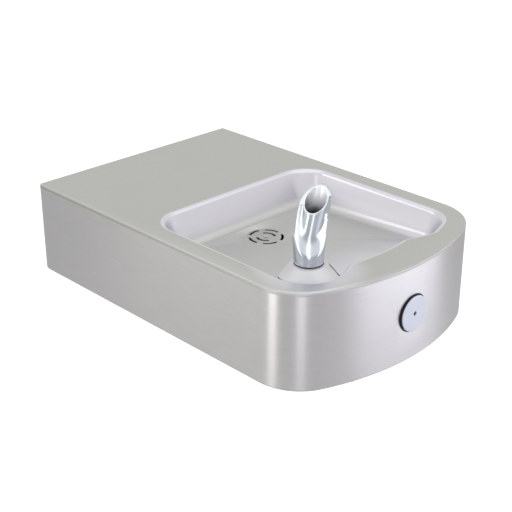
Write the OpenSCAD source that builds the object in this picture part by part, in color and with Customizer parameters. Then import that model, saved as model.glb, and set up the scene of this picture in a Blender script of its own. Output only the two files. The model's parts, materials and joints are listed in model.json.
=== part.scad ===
// A wall-hung drinking fountain in folded stainless sheet. A pressed bowl fills the front of the
// deck, a bubbler stands on a mound in its front corner, and a push button in the rounded front
// opens the valve. The wall is the plane y = 0, the front faces -Y, and the origin is the middle
// of the four wall bolts, halfway up the body.

/* [Body] */
// Width of the body across its flat sides
body_w = 317.5; // [305:0.5:330]
// Reach of the body from the wall to the middle of its front
body_d = 482.6; // [475:0.1:505]
// Height of the body from the bottom edge to the deck
body_h = 120.65; // [118:0.05:135]
// Radius of the rounded front, seen from above
front_r = 312; // [290:1:340]
// Radius of the two front corners, seen from above
corner_r = 63.5; // [60:0.5:67]
// Thickness of the stainless sheet
sheet_t = 1.5; // [1.2:0.1:1.8]
// Radius at the back lower corner of each side
heel_r = 10; // [7:0.5:13]
// Width of the flange that is folded in round the bottom
flange_w = 16; // [14:0.5:20]

/* [Bowl] */
// Width of the flat rim beside the bowl
rim_w = 20.5; // [18:0.5:22]
// Distance from the wall to the back edge of the bowl
bowl_back = 186; // [176:1:192]
// Radius of the two back corners of the bowl
bowl_corner_r = 42; // [38:1:46]
// Radius of the rolled edge
roll_r = 11; // [9:0.5:12]
// Radius where the walls run into the floor
cove_r = 12; // [9:0.5:13]
// How far a wall leans in towards its foot
wall_draft = 2; // [1:0.5:3]
// Depth of the crease that drains the floor from each side
bowl_depth = 40.5; // [38:0.5:43]
// Rise of the floor from the crease to the front
front_rise = 12; // [9:0.5:14]
// Rise of the floor from the crease to the back
back_rise = 2.5; // [1:0.5:4]
// Fall of the crease from a side wall to the drain
drain_fall = 2.5; // [1:0.5:4]
// Extra width of the ledge in the middle of the front rim
ledge_w = 22; // [18:1:25]
// Fall of that ledge towards the bowl
ledge_fall = 2; // [1:0.5:3]

/* [Drain] */
// Distance from the wall to the middle of the drain
drain_back = 251; // [246:1:258]
// Radius of the flat disc that holds the strainer slots
drain_disc_r = 28; // [26:0.5:30]
// Radius of the middle of the outer ring of slots
outer_slot_r = 20.5; // [19:0.5:22]
// Radius of the middle of the inner ring of slots
inner_slot_r = 11.2; // [10:0.2:13]
// Width of a slot
slot_w = 3.4; // [2.8:0.2:4]
// Outer diameter of the waste tube
waste_od = 31.75; // [30:0.05:33]
// Wall of the waste tube
waste_wall = 1.6; // [1.2:0.1:2]
// Radius of the bend of the waste tube, at its middle
waste_bend_r = 24; // [22:0.5:27]
// Depth of the waste outlet below the deck
waste_depth = 98; // [96:0.5:100]

/* [Bubbler] */
// Distance of the bubbler from the left side of the body
bubbler_side = 65.25; // [62:0.25:69]
// Distance of the bubbler from the foremost point of the body
bubbler_in = 71.9; // [68:0.1:76]
// Radius of the mound where it leaves the deck
mound_r = 37; // [35:0.5:40]
// Radius of the seat on top of the mound
seat_r = 19; // [18.5:0.5:21]
// Height of the mound above the deck
mound_rise = 8; // [6:0.5:10]
// Radius of the bubbler head at its foot
head_r = 16.3; // [15.6:0.1:17.2]
// Radius of the bubbler head at its widest
head_wide_r = 18.2; // [17.6:0.1:18.6]
// Height of the bubbler head
head_h = 84; // [80:0.5:90]
// Radius of the bore at the mouth
mouth_r = 11.3; // [10.4:0.1:12]
// Radius of the shank below the head
shank_r = 9.5; // [8.5:0.1:10.5]
// Length of the shank below the seat
shank_l = 40; // [38:0.5:43]

/* [Button] */
// Diameter of the push button
button_d = 42.5; // [40:0.1:44]
// How far the button stands out of the front
button_proud = 3.4; // [2.5:0.1:4]
// Travel of the button
button_travel = 3.2; // [2:0.1:3.4]
// Thickness of the satin disc on the button
face_t = 1.2; // [1:0.1:1.6]
// Diameter of the key hole in the disc
key_hole_d = 5; // [4:0.1:6]
// Wall of the sleeve round the button
sleeve_wall = 1.4; // [1:0.1:2]
// Running clearance of the button in its sleeve
button_gap = 0.1; // [0.05:0.05:0.1]

/* [Wall fixing] */
// Distance between the wall bolts across the body
bolt_span_x = 254; // [230:1:260]
// Distance between the wall bolts up the body
bolt_span_z = 57.15; // [50:0.05:60]
// Diameter of a wall bolt
bolt_d = 9.525; // [8:0.005:10]
// Radial clearance round a wall bolt
bolt_gap = 0.8; // [0.4:0.1:1]
// Width of the notch for the pipes
notch_w = 160; // [150:1:170]
// Depth of the top of that notch below the deck
notch_depth = 46; // [42:1:48]

/* [Supply] */
// Outer diameter of the water tubes
tube_od = 9.525; // [9:0.005:10]
// Wall of the water tubes
tube_wall = 0.9; // [0.7:0.1:1.2]
// Radius of their bends
tube_bend_r = 20; // [17:0.5:22]
// Sideways place of the supply tube where it leaves the body
supply_x = 55; // [52:0.5:62]
// How far inside the wall plane the pipes end
pipe_end = 12; // [8:0.5:16]

/* [Hidden] */

// One overrun serves every cut
over = 1;
// Gap between sheets that are set face to face but not pressed together
seat_gap = 0.2;
// Room between the end of a tube or stem and the shoulder that faces it
end_gap = 1;

// Heights that follow from the body
deck_z = body_h / 2;
bottom_z = -body_h / 2;
cover_t = 1.2;
edge_z = bottom_z + cover_t;

// Centres of the rounded front and its corners, seen from above
corner_x = body_w / 2 - corner_r;
arc_y = front_r - body_d;
corner_y = arc_y - sqrt(pow(front_r - corner_r, 2) - pow(corner_x, 2));
corner_turn = atan2(corner_x, arc_y - corner_y);

// Plan of the body, drawn in by gap on its sides and front, and by back at the wall
module plan(gap = 0, back = 0) {
    reach = 2 * front_r;
    translate([-body_w / 2 + gap, corner_y])
        square([body_w - 2 * gap, -corner_y - back]);
    for (side = [-1, 1])
        translate([side * corner_x, corner_y])
            circle(r = corner_r - gap, $fn = 120);
    intersection() {
        translate([0, arc_y])
            circle(r = front_r - gap, $fn = 360);
        polygon([
            [0, arc_y],
            [-reach * sin(corner_turn), arc_y - reach * cos(corner_turn)],
            [reach * sin(corner_turn), arc_y - reach * cos(corner_turn)]
        ]);
    }
}

// Bowl: how many steps its outline takes on the front, a corner, a side and a back corner
front_steps = 11;
corner_steps = 7;
side_steps = 3;
back_steps = 5;
lead_w = 2;
ledge_end_x = 88;
ledge_full_x = 45;
disc_z = deck_z - bowl_depth - drain_fall;
drain_y = -drain_back;
rim_r = front_r - rim_w;
rim_corner_r = corner_r - rim_w;
rim_x = body_w / 2 - rim_w;
back_corner_x = rim_x - bowl_corner_r;
back_corner_y = -bowl_back - bowl_corner_r;

// Points of the bowl's rim from the middle of the front to the middle of the back, each with
// the direction in which it faces, measured from the front
half_rim = concat(
    [for (k = [0:front_steps]) let(a = corner_turn * k / front_steps)
        [rim_r * sin(a), arc_y - rim_r * cos(a), a]],
    [for (k = [1:corner_steps]) let(a = corner_turn + (90 - corner_turn) * k / corner_steps)
        [corner_x + rim_corner_r * sin(a), corner_y - rim_corner_r * cos(a), a]],
    [for (k = [1:side_steps]) [rim_x, corner_y + (drain_y - corner_y) * k / side_steps, 90]],
    [for (k = [0:back_steps]) let(a = 90 + 90 * k / back_steps)
        [back_corner_x + bowl_corner_r * sin(a), back_corner_y - bowl_corner_r * cos(a), a]],
    [[back_corner_x / 2, -bowl_back, 180], [0, -bowl_back, 180]]
);
half_count = len(half_rim);
rim = concat(half_rim, [for (i = [half_count - 2:-1:1]) let(p = half_rim[i]) [-p[0], p[1], -p[2]]]);
rim_count = len(rim);

// The ledge fills the middle of the front and fades out before the corners
function ease(s) = let(c = min(max(s, 0), 1)) c * c * (3 - 2 * c);
function ledge(p) = abs(p[2]) > 90 ? 0 : ease((ledge_end_x - abs(p[0])) / (ledge_end_x - ledge_full_x));
function lead(p) = lead_w + ledge_w * ledge(p);
function lip(p) = deck_z - ledge_fall * ledge(p);

// The floor has a crease from each side wall to the drain, and rises from it both ways
function foot(p) = deck_z - bowl_depth + (p[1] < drain_y
    ? front_rise * (drain_y - p[1]) / (drain_y + body_d)
    : back_rise * (p[1] - drain_y) / (drain_back - bowl_back));

// A point at a distance inside the rim and at a height
function inside(p, u, z) = [p[0] - u * sin(p[2]), p[1] + u * cos(p[2]), z];
function roll(p, a, t) =
    inside(p, lead(p) + (roll_r - t) * sin(a), lip(p) - roll_r + (roll_r - t) * cos(a));
function cove(p, a, t) =
    inside(p, lead(p) + roll_r + wall_draft + cove_r - (cove_r + t) * cos(a),
        foot(p) + cove_r - (cove_r + t) * sin(a));
function disc_point(p) = let(f = cove(p, 90, 0), d = norm([f[0], f[1] - drain_y]))
    [f[0] / d * drain_disc_r, drain_y + (f[1] - drain_y) / d * drain_disc_r, disc_z];
function lower(v, t) = [v[0], v[1], v[2] - t];
function floor_mid(p) = (cove(p, 90, 0) + disc_point(p)) / 2;

roll_angles = [22.5, 45, 67.5, 90];
cove_angles = [0, 30, 60, 90];
bowl_rings = concat(
    [[for (p = rim) inside(p, 0, deck_z)], [for (p = rim) inside(p, lead(p), lip(p))]],
    [for (a = roll_angles) [for (p = rim) roll(p, a, 0)]],
    [for (a = cove_angles) [for (p = rim) cove(p, a, 0)]],
    [[for (p = rim) floor_mid(p)], [for (p = rim) disc_point(p)]],
    [[for (p = rim) lower(disc_point(p), sheet_t)], [for (p = rim) lower(floor_mid(p), sheet_t)]],
    [for (k = [len(cove_angles) - 1:-1:0]) [for (p = rim) cove(p, cove_angles[k], sheet_t)]],
    [for (k = [len(roll_angles) - 1:-1:0]) [for (p = rim) roll(p, roll_angles[k], sheet_t)]],
    [[for (p = rim) inside(p, lead(p), lip(p) - sheet_t)],
        [for (p = rim) inside(p, 0, deck_z - sheet_t)]]
);
ring_total = len(bowl_rings);
cap_ring = ring_total / 2 - 1;

// Two triangles between each pair of neighbours on rings j and k
function strip(j, k) = [for (i = [0:rim_count - 1]) let(n = (i + 1) % rim_count) each [
    [j * rim_count + i, k * rim_count + i, k * rim_count + n],
    [j * rim_count + i, k * rim_count + n, j * rim_count + n]
]];

// The pressed bowl, closed by the flat disc of the drain
module bowl() {
    polyhedron(
        points = [for (ring = bowl_rings) each ring],
        faces = concat(
            [for (j = [0:ring_total - 1]) if (j != cap_ring) each strip(j, (j + 1) % ring_total)],
            [[for (i = [rim_count - 1:-1:0]) cap_ring * rim_count + i]],
            [[for (i = [0:rim_count - 1]) (cap_ring + 1) * rim_count + i]]
        )
    );
}

// Mound under the bubbler: a flare that rises from the corner of the deck to the seat. Its two
// sides run past the seat's circle, open towards the corner and drop straight into the bowl
bubbler_x = bubbler_side - body_w / 2;
bubbler_y = bubbler_in - body_d;
seat_z = deck_z + mound_rise;
mound_drop = bowl_depth - cove_r / 2;
mound_turn = 226;
fan_half = 64;
side_in = 0.8;
fan_side = fan_half + acos((seat_r - side_in) / mound_r);
flare_shares = [0, 0.25, 0.5, 0.75, 1];
flare_power = 1.3;

// Plan of the mound, drawn in by t
module mound_plan(t) {
    r = seat_r - side_in - t;
    far = 2 * mound_r;
    circle(r = seat_r - t, $fn = 96);
    rotate([0, 0, mound_turn])
        polygon([
            [r * cos(fan_side), -r * sin(fan_side)],
            [r * cos(fan_side) + far * sin(fan_side), -r * sin(fan_side) + far * cos(fan_side)],
            [r * cos(fan_side) + far * sin(fan_side), r * sin(fan_side) - far * cos(fan_side)],
            [r * cos(fan_side), r * sin(fan_side)]
        ]);
}

module mound_shape(t) {
    intersection() {
        rotate_extrude($fn = 96)
            polygon(concat(
                [[0, -mound_drop - t], [mound_r - t, -mound_drop - t]],
                [for (s = flare_shares)
                    [mound_r - (mound_r - seat_r) * s - t, mound_rise * pow(s, flare_power) - t]],
                [[0, mound_rise - t]]
            ));
        translate([0, 0, -mound_drop - t])
            linear_extrude(mound_drop + mound_rise + 2 * t)
                mound_plan(t);
    }
}

// A slot along part of a ring, cut straight down
module slot(r, turn, width_angle) {
    translate([0, drain_y, disc_z - sheet_t - over])
        rotate([0, 0, turn - width_angle / 2])
            rotate_extrude(angle = width_angle, $fn = 96)
                translate([r - slot_w / 2, 0])
                    square([slot_w, sheet_t + 2 * over]);
}

outer_slots = 5;
outer_slot_turn = 24;
outer_slot_angle = 50;
inner_slots = 2;
inner_slot_turn = 14;
inner_slot_angle = 100;
drain_screw_r = 2;
drain_screw_gap = 0.15;
shank_gap = 0.4;

module basin_deck() {
    color("gainsboro")
        difference() {
            union() {
                translate([0, 0, deck_z - sheet_t])
                    linear_extrude(sheet_t)
                        difference() {
                            plan();
                            polygon([for (p = rim) [p[0], p[1]]]);
                        }
                bowl();
                translate([bubbler_x, bubbler_y, deck_z])
                    mound_shape(0);
            }
            translate([bubbler_x, bubbler_y, deck_z])
                mound_shape(sheet_t);
            translate([0, 0, deck_z - bowl_depth - sheet_t])
                linear_extrude(bowl_depth)
                    intersection() {
                        difference() {
                            plan(sheet_t);
                            plan(rim_w + lead_w);
                        }
                        translate([bubbler_x, bubbler_y])
                            circle(r = mound_r + over, $fn = 96);
                    }
            translate([bubbler_x, bubbler_y, deck_z - over])
                cylinder(r = shank_r + shank_gap, h = mound_rise + 2 * over, $fn = 48);
            for (k = [0:outer_slots - 1])
                slot(outer_slot_r, outer_slot_turn + k * 360 / outer_slots, outer_slot_angle);
            for (k = [0:inner_slots - 1])
                slot(inner_slot_r, inner_slot_turn + k * 360 / inner_slots, inner_slot_angle);
            translate([0, drain_y, disc_z - sheet_t - over])
                cylinder(r = drain_screw_r + drain_screw_gap, h = sheet_t + 2 * over, $fn = 32);
        }
}

// Cover screws: three along each side and two on the front, in the middle of the flange
screw_r = 2.5;
screw_gap = 0.2;
screw_head_r = 4.75;
screw_head_h = 2.2;
nut_h = 4;
nut_af = 8;
flange_back = 12;
flange_mid = sheet_t + (flange_w - sheet_t) / 2;
front_screw_turn = 15;
side_screw_shares = [0.1, 0.5, 0.9];
front_screw_r = front_r - flange_mid;
cover_holes = [for (side = [-1, 1]) each concat(
    [for (s = side_screw_shares) [side * (body_w / 2 - flange_mid), corner_y * s - flange_back * (1 - s)]],
    [[side * front_screw_r * sin(front_screw_turn), arc_y - front_screw_r * cos(front_screw_turn)]]
)];

// Sleeve hole
sleeve_r = button_d / 2 + button_gap + sleeve_wall;
sleeve_hole_gap = 0.2;

// The skirt stands under the deck and carries it
module apron_skirt() {
    color("silver")
        difference() {
            union() {
                translate([0, 0, edge_z])
                    linear_extrude(deck_z - sheet_t - edge_z)
                        difference() {
                            plan();
                            plan(sheet_t, -over);
                        }
                translate([0, 0, edge_z])
                    linear_extrude(sheet_t)
                        difference() {
                            plan(0, flange_back);
                            plan(flange_w, flange_back + flange_w);
                        }
            }
            translate([0, -body_d - over, 0])
                rotate([-90, 0, 0])
                    cylinder(r = sleeve_r + sleeve_hole_gap, h = corner_r, $fn = 96);
            translate([-body_w / 2 - over, -heel_r, edge_z - over])
                difference() {
                    cube([body_w + 2 * over, heel_r + over, heel_r + over]);
                    translate([-over, 0, heel_r + over])
                        rotate([0, 90, 0])
                            cylinder(r = heel_r, h = body_w + 4 * over, $fn = 96);
                }
            for (p = cover_holes)
                translate([p[0], p[1], edge_z - over])
                    cylinder(r = screw_r + screw_gap, h = sheet_t + 2 * over, $fn = 32);
        }
}

// Back panel with folded top and side flanges and a notch, open below, for the pipes
panel_fold = 14;
panel_w = body_w - 2 * sheet_t - 2 * seat_gap;
panel_top = deck_z - sheet_t - seat_gap;
panel_bottom = edge_z + heel_r + seat_gap;
notch_top = deck_z - notch_depth;
notch_corner_r = 8;
bolt_hole_r = bolt_d / 2 + bolt_gap;

module bolt_holes(depth) {
    for (x = [-1, 1], z = [-1, 1])
        translate([x * bolt_span_x / 2, over, z * bolt_span_z / 2])
            rotate([90, 0, 0])
                cylinder(r = bolt_hole_r, h = depth + 2 * over, $fn = 64);
}

module back_panel() {
    color("darkgray")
        difference() {
            translate([-panel_w / 2, -panel_fold, panel_bottom])
                cube([panel_w, panel_fold, panel_top - panel_bottom]);
            translate([-panel_w / 2 + sheet_t, -panel_fold - over, panel_bottom - over])
                cube([panel_w - 2 * sheet_t, panel_fold + over - sheet_t,
                    panel_top - panel_bottom + over - sheet_t]);
            translate([-notch_w / 2, -sheet_t - over, panel_bottom - over])
                cube([notch_w, sheet_t + 2 * over, notch_top - notch_corner_r - panel_bottom + over]);
            translate([-notch_w / 2 + notch_corner_r, -sheet_t - over, panel_bottom - over])
                cube([notch_w - 2 * notch_corner_r, sheet_t + 2 * over, notch_top - panel_bottom + over]);
            for (x = [-1, 1])
                translate([x * (notch_w / 2 - notch_corner_r), over, notch_top - notch_corner_r])
                    rotate([90, 0, 0])
                        cylinder(r = notch_corner_r, h = sheet_t + 2 * over, $fn = 48);
            bolt_holes(sheet_t);
        }
}

// A thick plate behind each pair of bolt holes. It ends a little inside the side fold of the
// panel and reaches past the bolts towards the middle
plate_t = 3;
plate_side_gap = 6.55;
plate_reach = 22;
plate_margin = 14;
plate_out = panel_w / 2 - sheet_t - plate_side_gap;
plate_w = plate_out - bolt_span_x / 2 + plate_reach;

module mounting_plates() {
    color("dimgray")
        difference() {
            for (x = [-1, 1])
                translate([x * (plate_out - plate_w / 2) - plate_w / 2, -sheet_t - plate_t,
                    -bolt_span_z / 2 - plate_margin])
                    cube([plate_w, plate_t, bolt_span_z + 2 * plate_margin]);
            translate([0, -sheet_t, 0])
                bolt_holes(plate_t);
        }
}

// The cover lies under the flange and stops short of the edges
cover_inset = 3;

module bottom_cover() {
    color("silver")
        difference() {
            translate([0, 0, bottom_z])
                linear_extrude(cover_t)
                    plan(cover_inset, flange_back);
            for (p = cover_holes)
                translate([p[0], p[1], bottom_z - over])
                    cylinder(r = screw_r + screw_gap, h = cover_t + 2 * over, $fn = 32);
        }
}

// A button-head screw that points up from its seat
crown_share = 0.7;
socket_depth_share = 0.7;

module low_screw(r, length, head_r, head_h, socket_af) {
    difference() {
        union() {
            cylinder(r = r, h = length, $fn = 32);
            translate([0, 0, -head_h / 2])
                cylinder(r = head_r, h = head_h / 2, $fn = 48);
            translate([0, 0, -head_h])
                cylinder(r1 = head_r * crown_share, r2 = head_r, h = head_h / 2, $fn = 48);
        }
        translate([0, 0, -head_h - over])
            cylinder(r = socket_af / 2 / cos(30), h = head_h * socket_depth_share + over, $fn = 6);
    }
}

// A plain hexagon nut with a bore
module hex_nut(af, bore_r, h) {
    difference() {
        cylinder(r = af / 2 / cos(30), h = h, $fn = 6);
        translate([0, 0, -over])
            cylinder(r = bore_r, h = h + 2 * over, $fn = 48);
    }
}

screw_socket = 3;
nut_gap = 0.05;

module cover_screws() {
    color("gray")
        for (p = cover_holes)
            translate([p[0], p[1], bottom_z])
                low_screw(screw_r, cover_t + sheet_t + nut_h, screw_head_r, screw_head_h, screw_socket);
}

module cover_nuts() {
    color("darkgray")
        for (p = cover_holes)
            translate([p[0], p[1], edge_z + sheet_t])
                hex_nut(nut_af, screw_r + nut_gap, nut_h);
}

// Damping pad under the flat part of the deck
pad_t = 2;
pad_w = 220;
pad_front = 150;
pad_back = 30;

module sound_pad() {
    color("black")
        translate([-pad_w / 2, -pad_front, deck_z - sheet_t - pad_t])
            cube([pad_w, pad_front - pad_back, pad_t]);
}

// Bubbler head: an upright barrel carries a hood that leans towards the middle of the fountain.
// A steep face cuts the front of both, the wall of the bore stands out of that face, and a
// slanting plane cuts the top, where the bore opens as the mouth
gasket_t = 0.8;
head_z = seat_z + gasket_t;
barrel_share = 0.4;
barrel_h = head_h * barrel_share;
hood_l = head_h - barrel_h;
lean = 9.6;
lean_turn = -44;
mouth_tilt = 42.7;
mouth_turn = 209;
mouth_share = 0.84;
mouth_wall = 1.3;
front_tilt = 15;
front_turn = 231;
front_foot_share = 0.2;
front_in_share = 0.91;
bore_share = 0.2;
bore_start = hood_l * bore_share;
hood_foot_share = 0.5;
hood_radius_shares = [0.96, 0.94, 0.88, 0.78, 0.62];
hood_height_shares = [0, 0.3, 0.58, 0.84, 1.06];

// Turns a piece that is drawn up +Z so that it runs along the leaning axis of the hood
module along_lean() {
    translate([0, 0, barrel_h])
        rotate([0, 0, lean_turn])
            rotate([0, lean, 0])
                children();
}

module head_blank() {
    cylinder(r1 = head_r, r2 = head_wide_r, h = barrel_h, $fn = 96);
    along_lean()
        rotate_extrude($fn = 96)
            polygon(concat(
                [[0, -hood_l * hood_foot_share], [mouth_r, -hood_l * hood_foot_share]],
                [for (k = [0:len(hood_height_shares) - 1])
                    [head_wide_r * hood_radius_shares[k], hood_l * hood_height_shares[k]]],
                [[0, hood_l * hood_height_shares[len(hood_height_shares) - 1]]]
            ));
}

module bubbler_head() {
    reach = 2 * head_h;
    color("lightsteelblue")
        translate([bubbler_x, bubbler_y, head_z])
            difference() {
                union() {
                    difference() {
                        head_blank();
                        rotate([0, 0, front_turn])
                            translate([head_r * front_in_share, 0, head_h * front_foot_share])
                                rotate([0, -front_tilt, 0])
                                    translate([0, -reach / 2, 0])
                                        cube([reach, reach, reach]);
                    }
                    along_lean()
                        cylinder(r = mouth_r + mouth_wall, h = hood_l, $fn = 64);
                }
                translate([0, 0, head_h * mouth_share])
                    rotate([0, 0, mouth_turn])
                        rotate([0, mouth_tilt, 0])
                            translate([-reach / 2, -reach / 2, 0])
                                cube([reach, reach, reach]);
                along_lean()
                    translate([0, 0, bore_start])
                        cylinder(r = mouth_r, h = reach, $fn = 64);
                along_lean()
                    translate([0, 0, shank_grip - barrel_h])
                        cylinder(r = nozzle_r + nozzle_gap, h = head_h, $fn = 48);
                translate([0, 0, -over])
                    cylinder(r = shank_r + nut_gap, h = shank_grip + over, $fn = 48);
            }
}

// The nozzle stands in the passage of the head and opens in the bottom of the mouth
nozzle_r = 3.5;
nozzle_gap = 0.05;
nozzle_bore_r = 1.6;
nozzle_l = 12;
shank_grip = 16;
shank_bore_r = 4;

module bubbler_nozzle() {
    color("gold")
        translate([bubbler_x, bubbler_y, head_z])
            along_lean()
                translate([0, 0, bore_start - nozzle_l / 2])
                    difference() {
                        cylinder(r = nozzle_r, h = nozzle_l, $fn = 48);
                        translate([0, 0, -over])
                            cylinder(r = nozzle_bore_r, h = nozzle_l + 2 * over, $fn = 32);
                    }
}

module bubbler_gasket() {
    color("black")
        translate([bubbler_x, bubbler_y, seat_z])
            difference() {
                cylinder(r = head_r, h = gasket_t, $fn = 64);
                translate([0, 0, -over])
                    cylinder(r = shank_r + nut_gap, h = gasket_t + 2 * over, $fn = 48);
            }
}

module bubbler_shank() {
    color("goldenrod")
        translate([bubbler_x, bubbler_y, seat_z - shank_l])
            difference() {
                cylinder(r = shank_r, h = shank_l + gasket_t + shank_grip, $fn = 48);
                translate([0, 0, -over])
                    cylinder(r = shank_bore_r, h = shank_l + gasket_t + shank_grip + 2 * over, $fn = 48);
            }
}

washer_t = 1.6;
washer_gap = 1;
washer_r = seat_r - sheet_t - washer_gap;
locknut_af = 28;
locknut_h = 7;

module bubbler_washer() {
    color("black")
        translate([bubbler_x, bubbler_y, seat_z - sheet_t - washer_t])
            difference() {
                cylinder(r = washer_r, h = washer_t, $fn = 64);
                translate([0, 0, -over])
                    cylinder(r = shank_r + nut_gap, h = washer_t + 2 * over, $fn = 48);
            }
}

module bubbler_locknut() {
    color("goldenrod")
        translate([bubbler_x, bubbler_y, seat_z - sheet_t - washer_t - locknut_h])
            hex_nut(locknut_af, shank_r + nut_gap, locknut_h);
}

// The union screws on the end of the shank and grips the tube under it
tube_r = tube_od / 2;
tube_bore_r = tube_r - tube_wall;
tube_gap = 0.05;
union_af = 24;
union_up = 12;
union_down = 6;
shank_end_z = seat_z - shank_l;

module bubbler_union() {
    color("darkgoldenrod")
        translate([bubbler_x, bubbler_y, shank_end_z])
            difference() {
                translate([0, 0, -union_down])
                    cylinder(r = union_af / 2 / cos(30), h = union_up + union_down, $fn = 6);
                cylinder(r = shank_r + nut_gap, h = union_up + over, $fn = 48);
                translate([0, 0, -union_down - over])
                    cylinder(r = tube_r + tube_gap, h = union_down + 2 * over, $fn = 48);
            }
}

// Rings of tube: a straight length up +Z, and a quarter bend from +Z to +X about (r, 0)
module pipe(od_r, id_r, length) {
    difference() {
        cylinder(r = od_r, h = length, $fn = 48);
        translate([0, 0, -over])
            cylinder(r = id_r, h = length + 2 * over, $fn = 48);
    }
}

module bend(od_r, id_r, bend_r) {
    translate([bend_r, 0, 0])
        rotate([90, 0, 180])
            rotate_extrude(angle = 90, $fn = 96)
                translate([bend_r, 0])
                    difference() {
                        circle(r = od_r, $fn = 48);
                        circle(r = id_r, $fn = 48);
                    }
}

// Valve: it lies behind the button on the same axis
front_y = -body_d;
flange_t = 4;
bracket_t = 2;
sleeve_flange_t = 3;
sleeve_l = 26.6;
web_front_y = front_y + sleeve_l;
web_back_y = web_front_y + bracket_t;
valve_r = 15;
valve_l = 50;
valve_end_y = web_back_y + valve_l;
flange_r = 30;
port_r = 8;
port_l = 12;
outlet_y = bubbler_y;

// Turns a piece that is drawn up +Z so that it runs back along +Y from the given place
module along_y(x, y, z) {
    translate([x, y, z])
        rotate([-90, 0, 0])
            children();
}

stem_r = 4;
stem_gap = 0.08;
stem_reach = 20;
seal_r = 6.6;
seal_l = 3;
chamber_r = 7;

module valve_body() {
    color("goldenrod")
        difference() {
            union() {
                along_y(0, web_back_y, 0)
                    cylinder(r = flange_r, h = flange_t, $fn = 96);
                along_y(0, web_back_y, 0)
                    cylinder(r = valve_r, h = valve_l, $fn = 64);
                along_y(0, valve_end_y - over, 0)
                    cylinder(r = port_r, h = port_l + over, $fn = 48);
                translate([0, outlet_y, 0])
                    rotate([0, -90, 0])
                        cylinder(r = port_r, h = valve_r + port_l, $fn = 48);
            }
            along_y(0, web_back_y - over, 0)
                cylinder(r = stem_r + stem_gap, h = stem_reach + 2 * over, $fn = 48);
            along_y(0, web_back_y - over, 0)
                cylinder(r = seal_r + nut_gap, h = seal_l + over, $fn = 48);
            along_y(0, web_back_y + stem_reach, 0)
                cylinder(r = chamber_r, h = valve_l - stem_reach - flange_t, $fn = 48);
            along_y(0, web_back_y + stem_reach, 0)
                cylinder(r = tube_r + tube_gap, h = valve_l + port_l, $fn = 48);
            translate([0, outlet_y, 0])
                rotate([0, -90, 0])
                    cylinder(r = tube_r + tube_gap, h = valve_r + port_l + over, $fn = 48);
            bracket_holes(web_back_y, flange_t);
        }
}

// Four screws join sleeve flange, bracket web and valve flange
bracket_screw_r = 2;
bracket_screw_circle = 26.6;
bracket_head_r = 3;
bracket_head_h = 1.8;
bracket_nut_af = 7;
bracket_nut_h = 3.2;
bracket_socket = 2;

module at_bracket_screws(y) {
    for (k = [0:3])
        translate([bracket_screw_circle * cos(45 + 90 * k), y, bracket_screw_circle * sin(45 + 90 * k)])
            rotate([-90, 0, 0])
                children();
}

module bracket_holes(y, depth) {
    at_bracket_screws(y - over)
        cylinder(r = bracket_screw_r + nut_gap, h = depth + 2 * over, $fn = 32);
}

module bracket_screws() {
    color("gray")
        at_bracket_screws(web_front_y - sleeve_flange_t)
            low_screw(bracket_screw_r, sleeve_flange_t + bracket_t + flange_t + bracket_nut_h,
                bracket_head_r, bracket_head_h, bracket_socket);
}

module bracket_nuts() {
    color("darkgray")
        at_bracket_screws(web_back_y + flange_t)
            hex_nut(bracket_nut_af, bracket_screw_r + nut_gap, bracket_nut_h);
}

module stem_seal() {
    color("black")
        along_y(0, web_back_y, 0)
            pipe(seal_r, stem_r + stem_gap, seal_l);
}

// The packing nut sits in front of the valve, inside the bracket's hole
packing_af = 18;
packing_l = 5;
web_hole_r = 12;

module packing_nut() {
    color("darkgoldenrod")
        along_y(0, web_back_y - packing_l, 0)
            hex_nut(packing_af, stem_r + stem_gap, packing_l);
}

// The bracket's web carries the valve, and its legs run forward to feet that follow the front
leg_x = 44;
foot_w = 14;
bracket_h = 60;

module valve_bracket() {
    color("darkgray")
        difference() {
            union() {
                translate([-leg_x, web_front_y, -bracket_h / 2])
                    cube([2 * leg_x, bracket_t, bracket_h]);
                translate([0, 0, -bracket_h / 2])
                    linear_extrude(bracket_h)
                        intersection() {
                            plan(sheet_t);
                            for (side = [-1, 1])
                                translate([side * (leg_x - bracket_t / 2) - bracket_t / 2, -body_d])
                                    square([bracket_t, sleeve_l + bracket_t]);
                        }
                translate([0, 0, -bracket_h / 2])
                    linear_extrude(bracket_h)
                        intersection() {
                            difference() {
                                plan(sheet_t);
                                plan(sheet_t + bracket_t);
                            }
                            for (side = [-1, 1])
                                translate([side * (leg_x + foot_w / 2 - bracket_t) - foot_w / 2, -body_d])
                                    square([foot_w, sleeve_l]);
                        }
            }
            along_y(0, web_front_y - over, 0)
                cylinder(r = web_hole_r, h = bracket_t + 2 * over, $fn = 64);
            bracket_holes(web_front_y, bracket_t);
        }
}

module button_sleeve() {
    color("black")
        difference() {
            union() {
                along_y(0, front_y, 0)
                    cylinder(r = sleeve_r, h = sleeve_l, $fn = 96);
                along_y(0, web_front_y - sleeve_flange_t, 0)
                    cylinder(r = flange_r, h = sleeve_flange_t, $fn = 96);
            }
            along_y(0, front_y - over, 0)
                cylinder(r = sleeve_r - sleeve_wall, h = sleeve_l + 2 * over, $fn = 96);
            bracket_holes(web_front_y - sleeve_flange_t, sleeve_flange_t);
        }
}

// Button: a satin disc on a black plunger, with the regulator screw behind the key hole
button_r = button_d / 2;
face_y = front_y - button_proud;
plunger_y = face_y + face_t;
plunger_l = 21.6;
plunger_floor = 4;
plunger_wall = 2.6;
boss_r = 6;
boss_l = 12;
regulator_r = 3;
regulator_gap = 0.05;
regulator_l = 10;
regulator_in = 2;
regulator_socket = 2.5;

module button_face() {
    color("aliceblue")
        along_y(0, face_y, 0)
            pipe(button_r, key_hole_d / 2, face_t);
}

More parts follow.
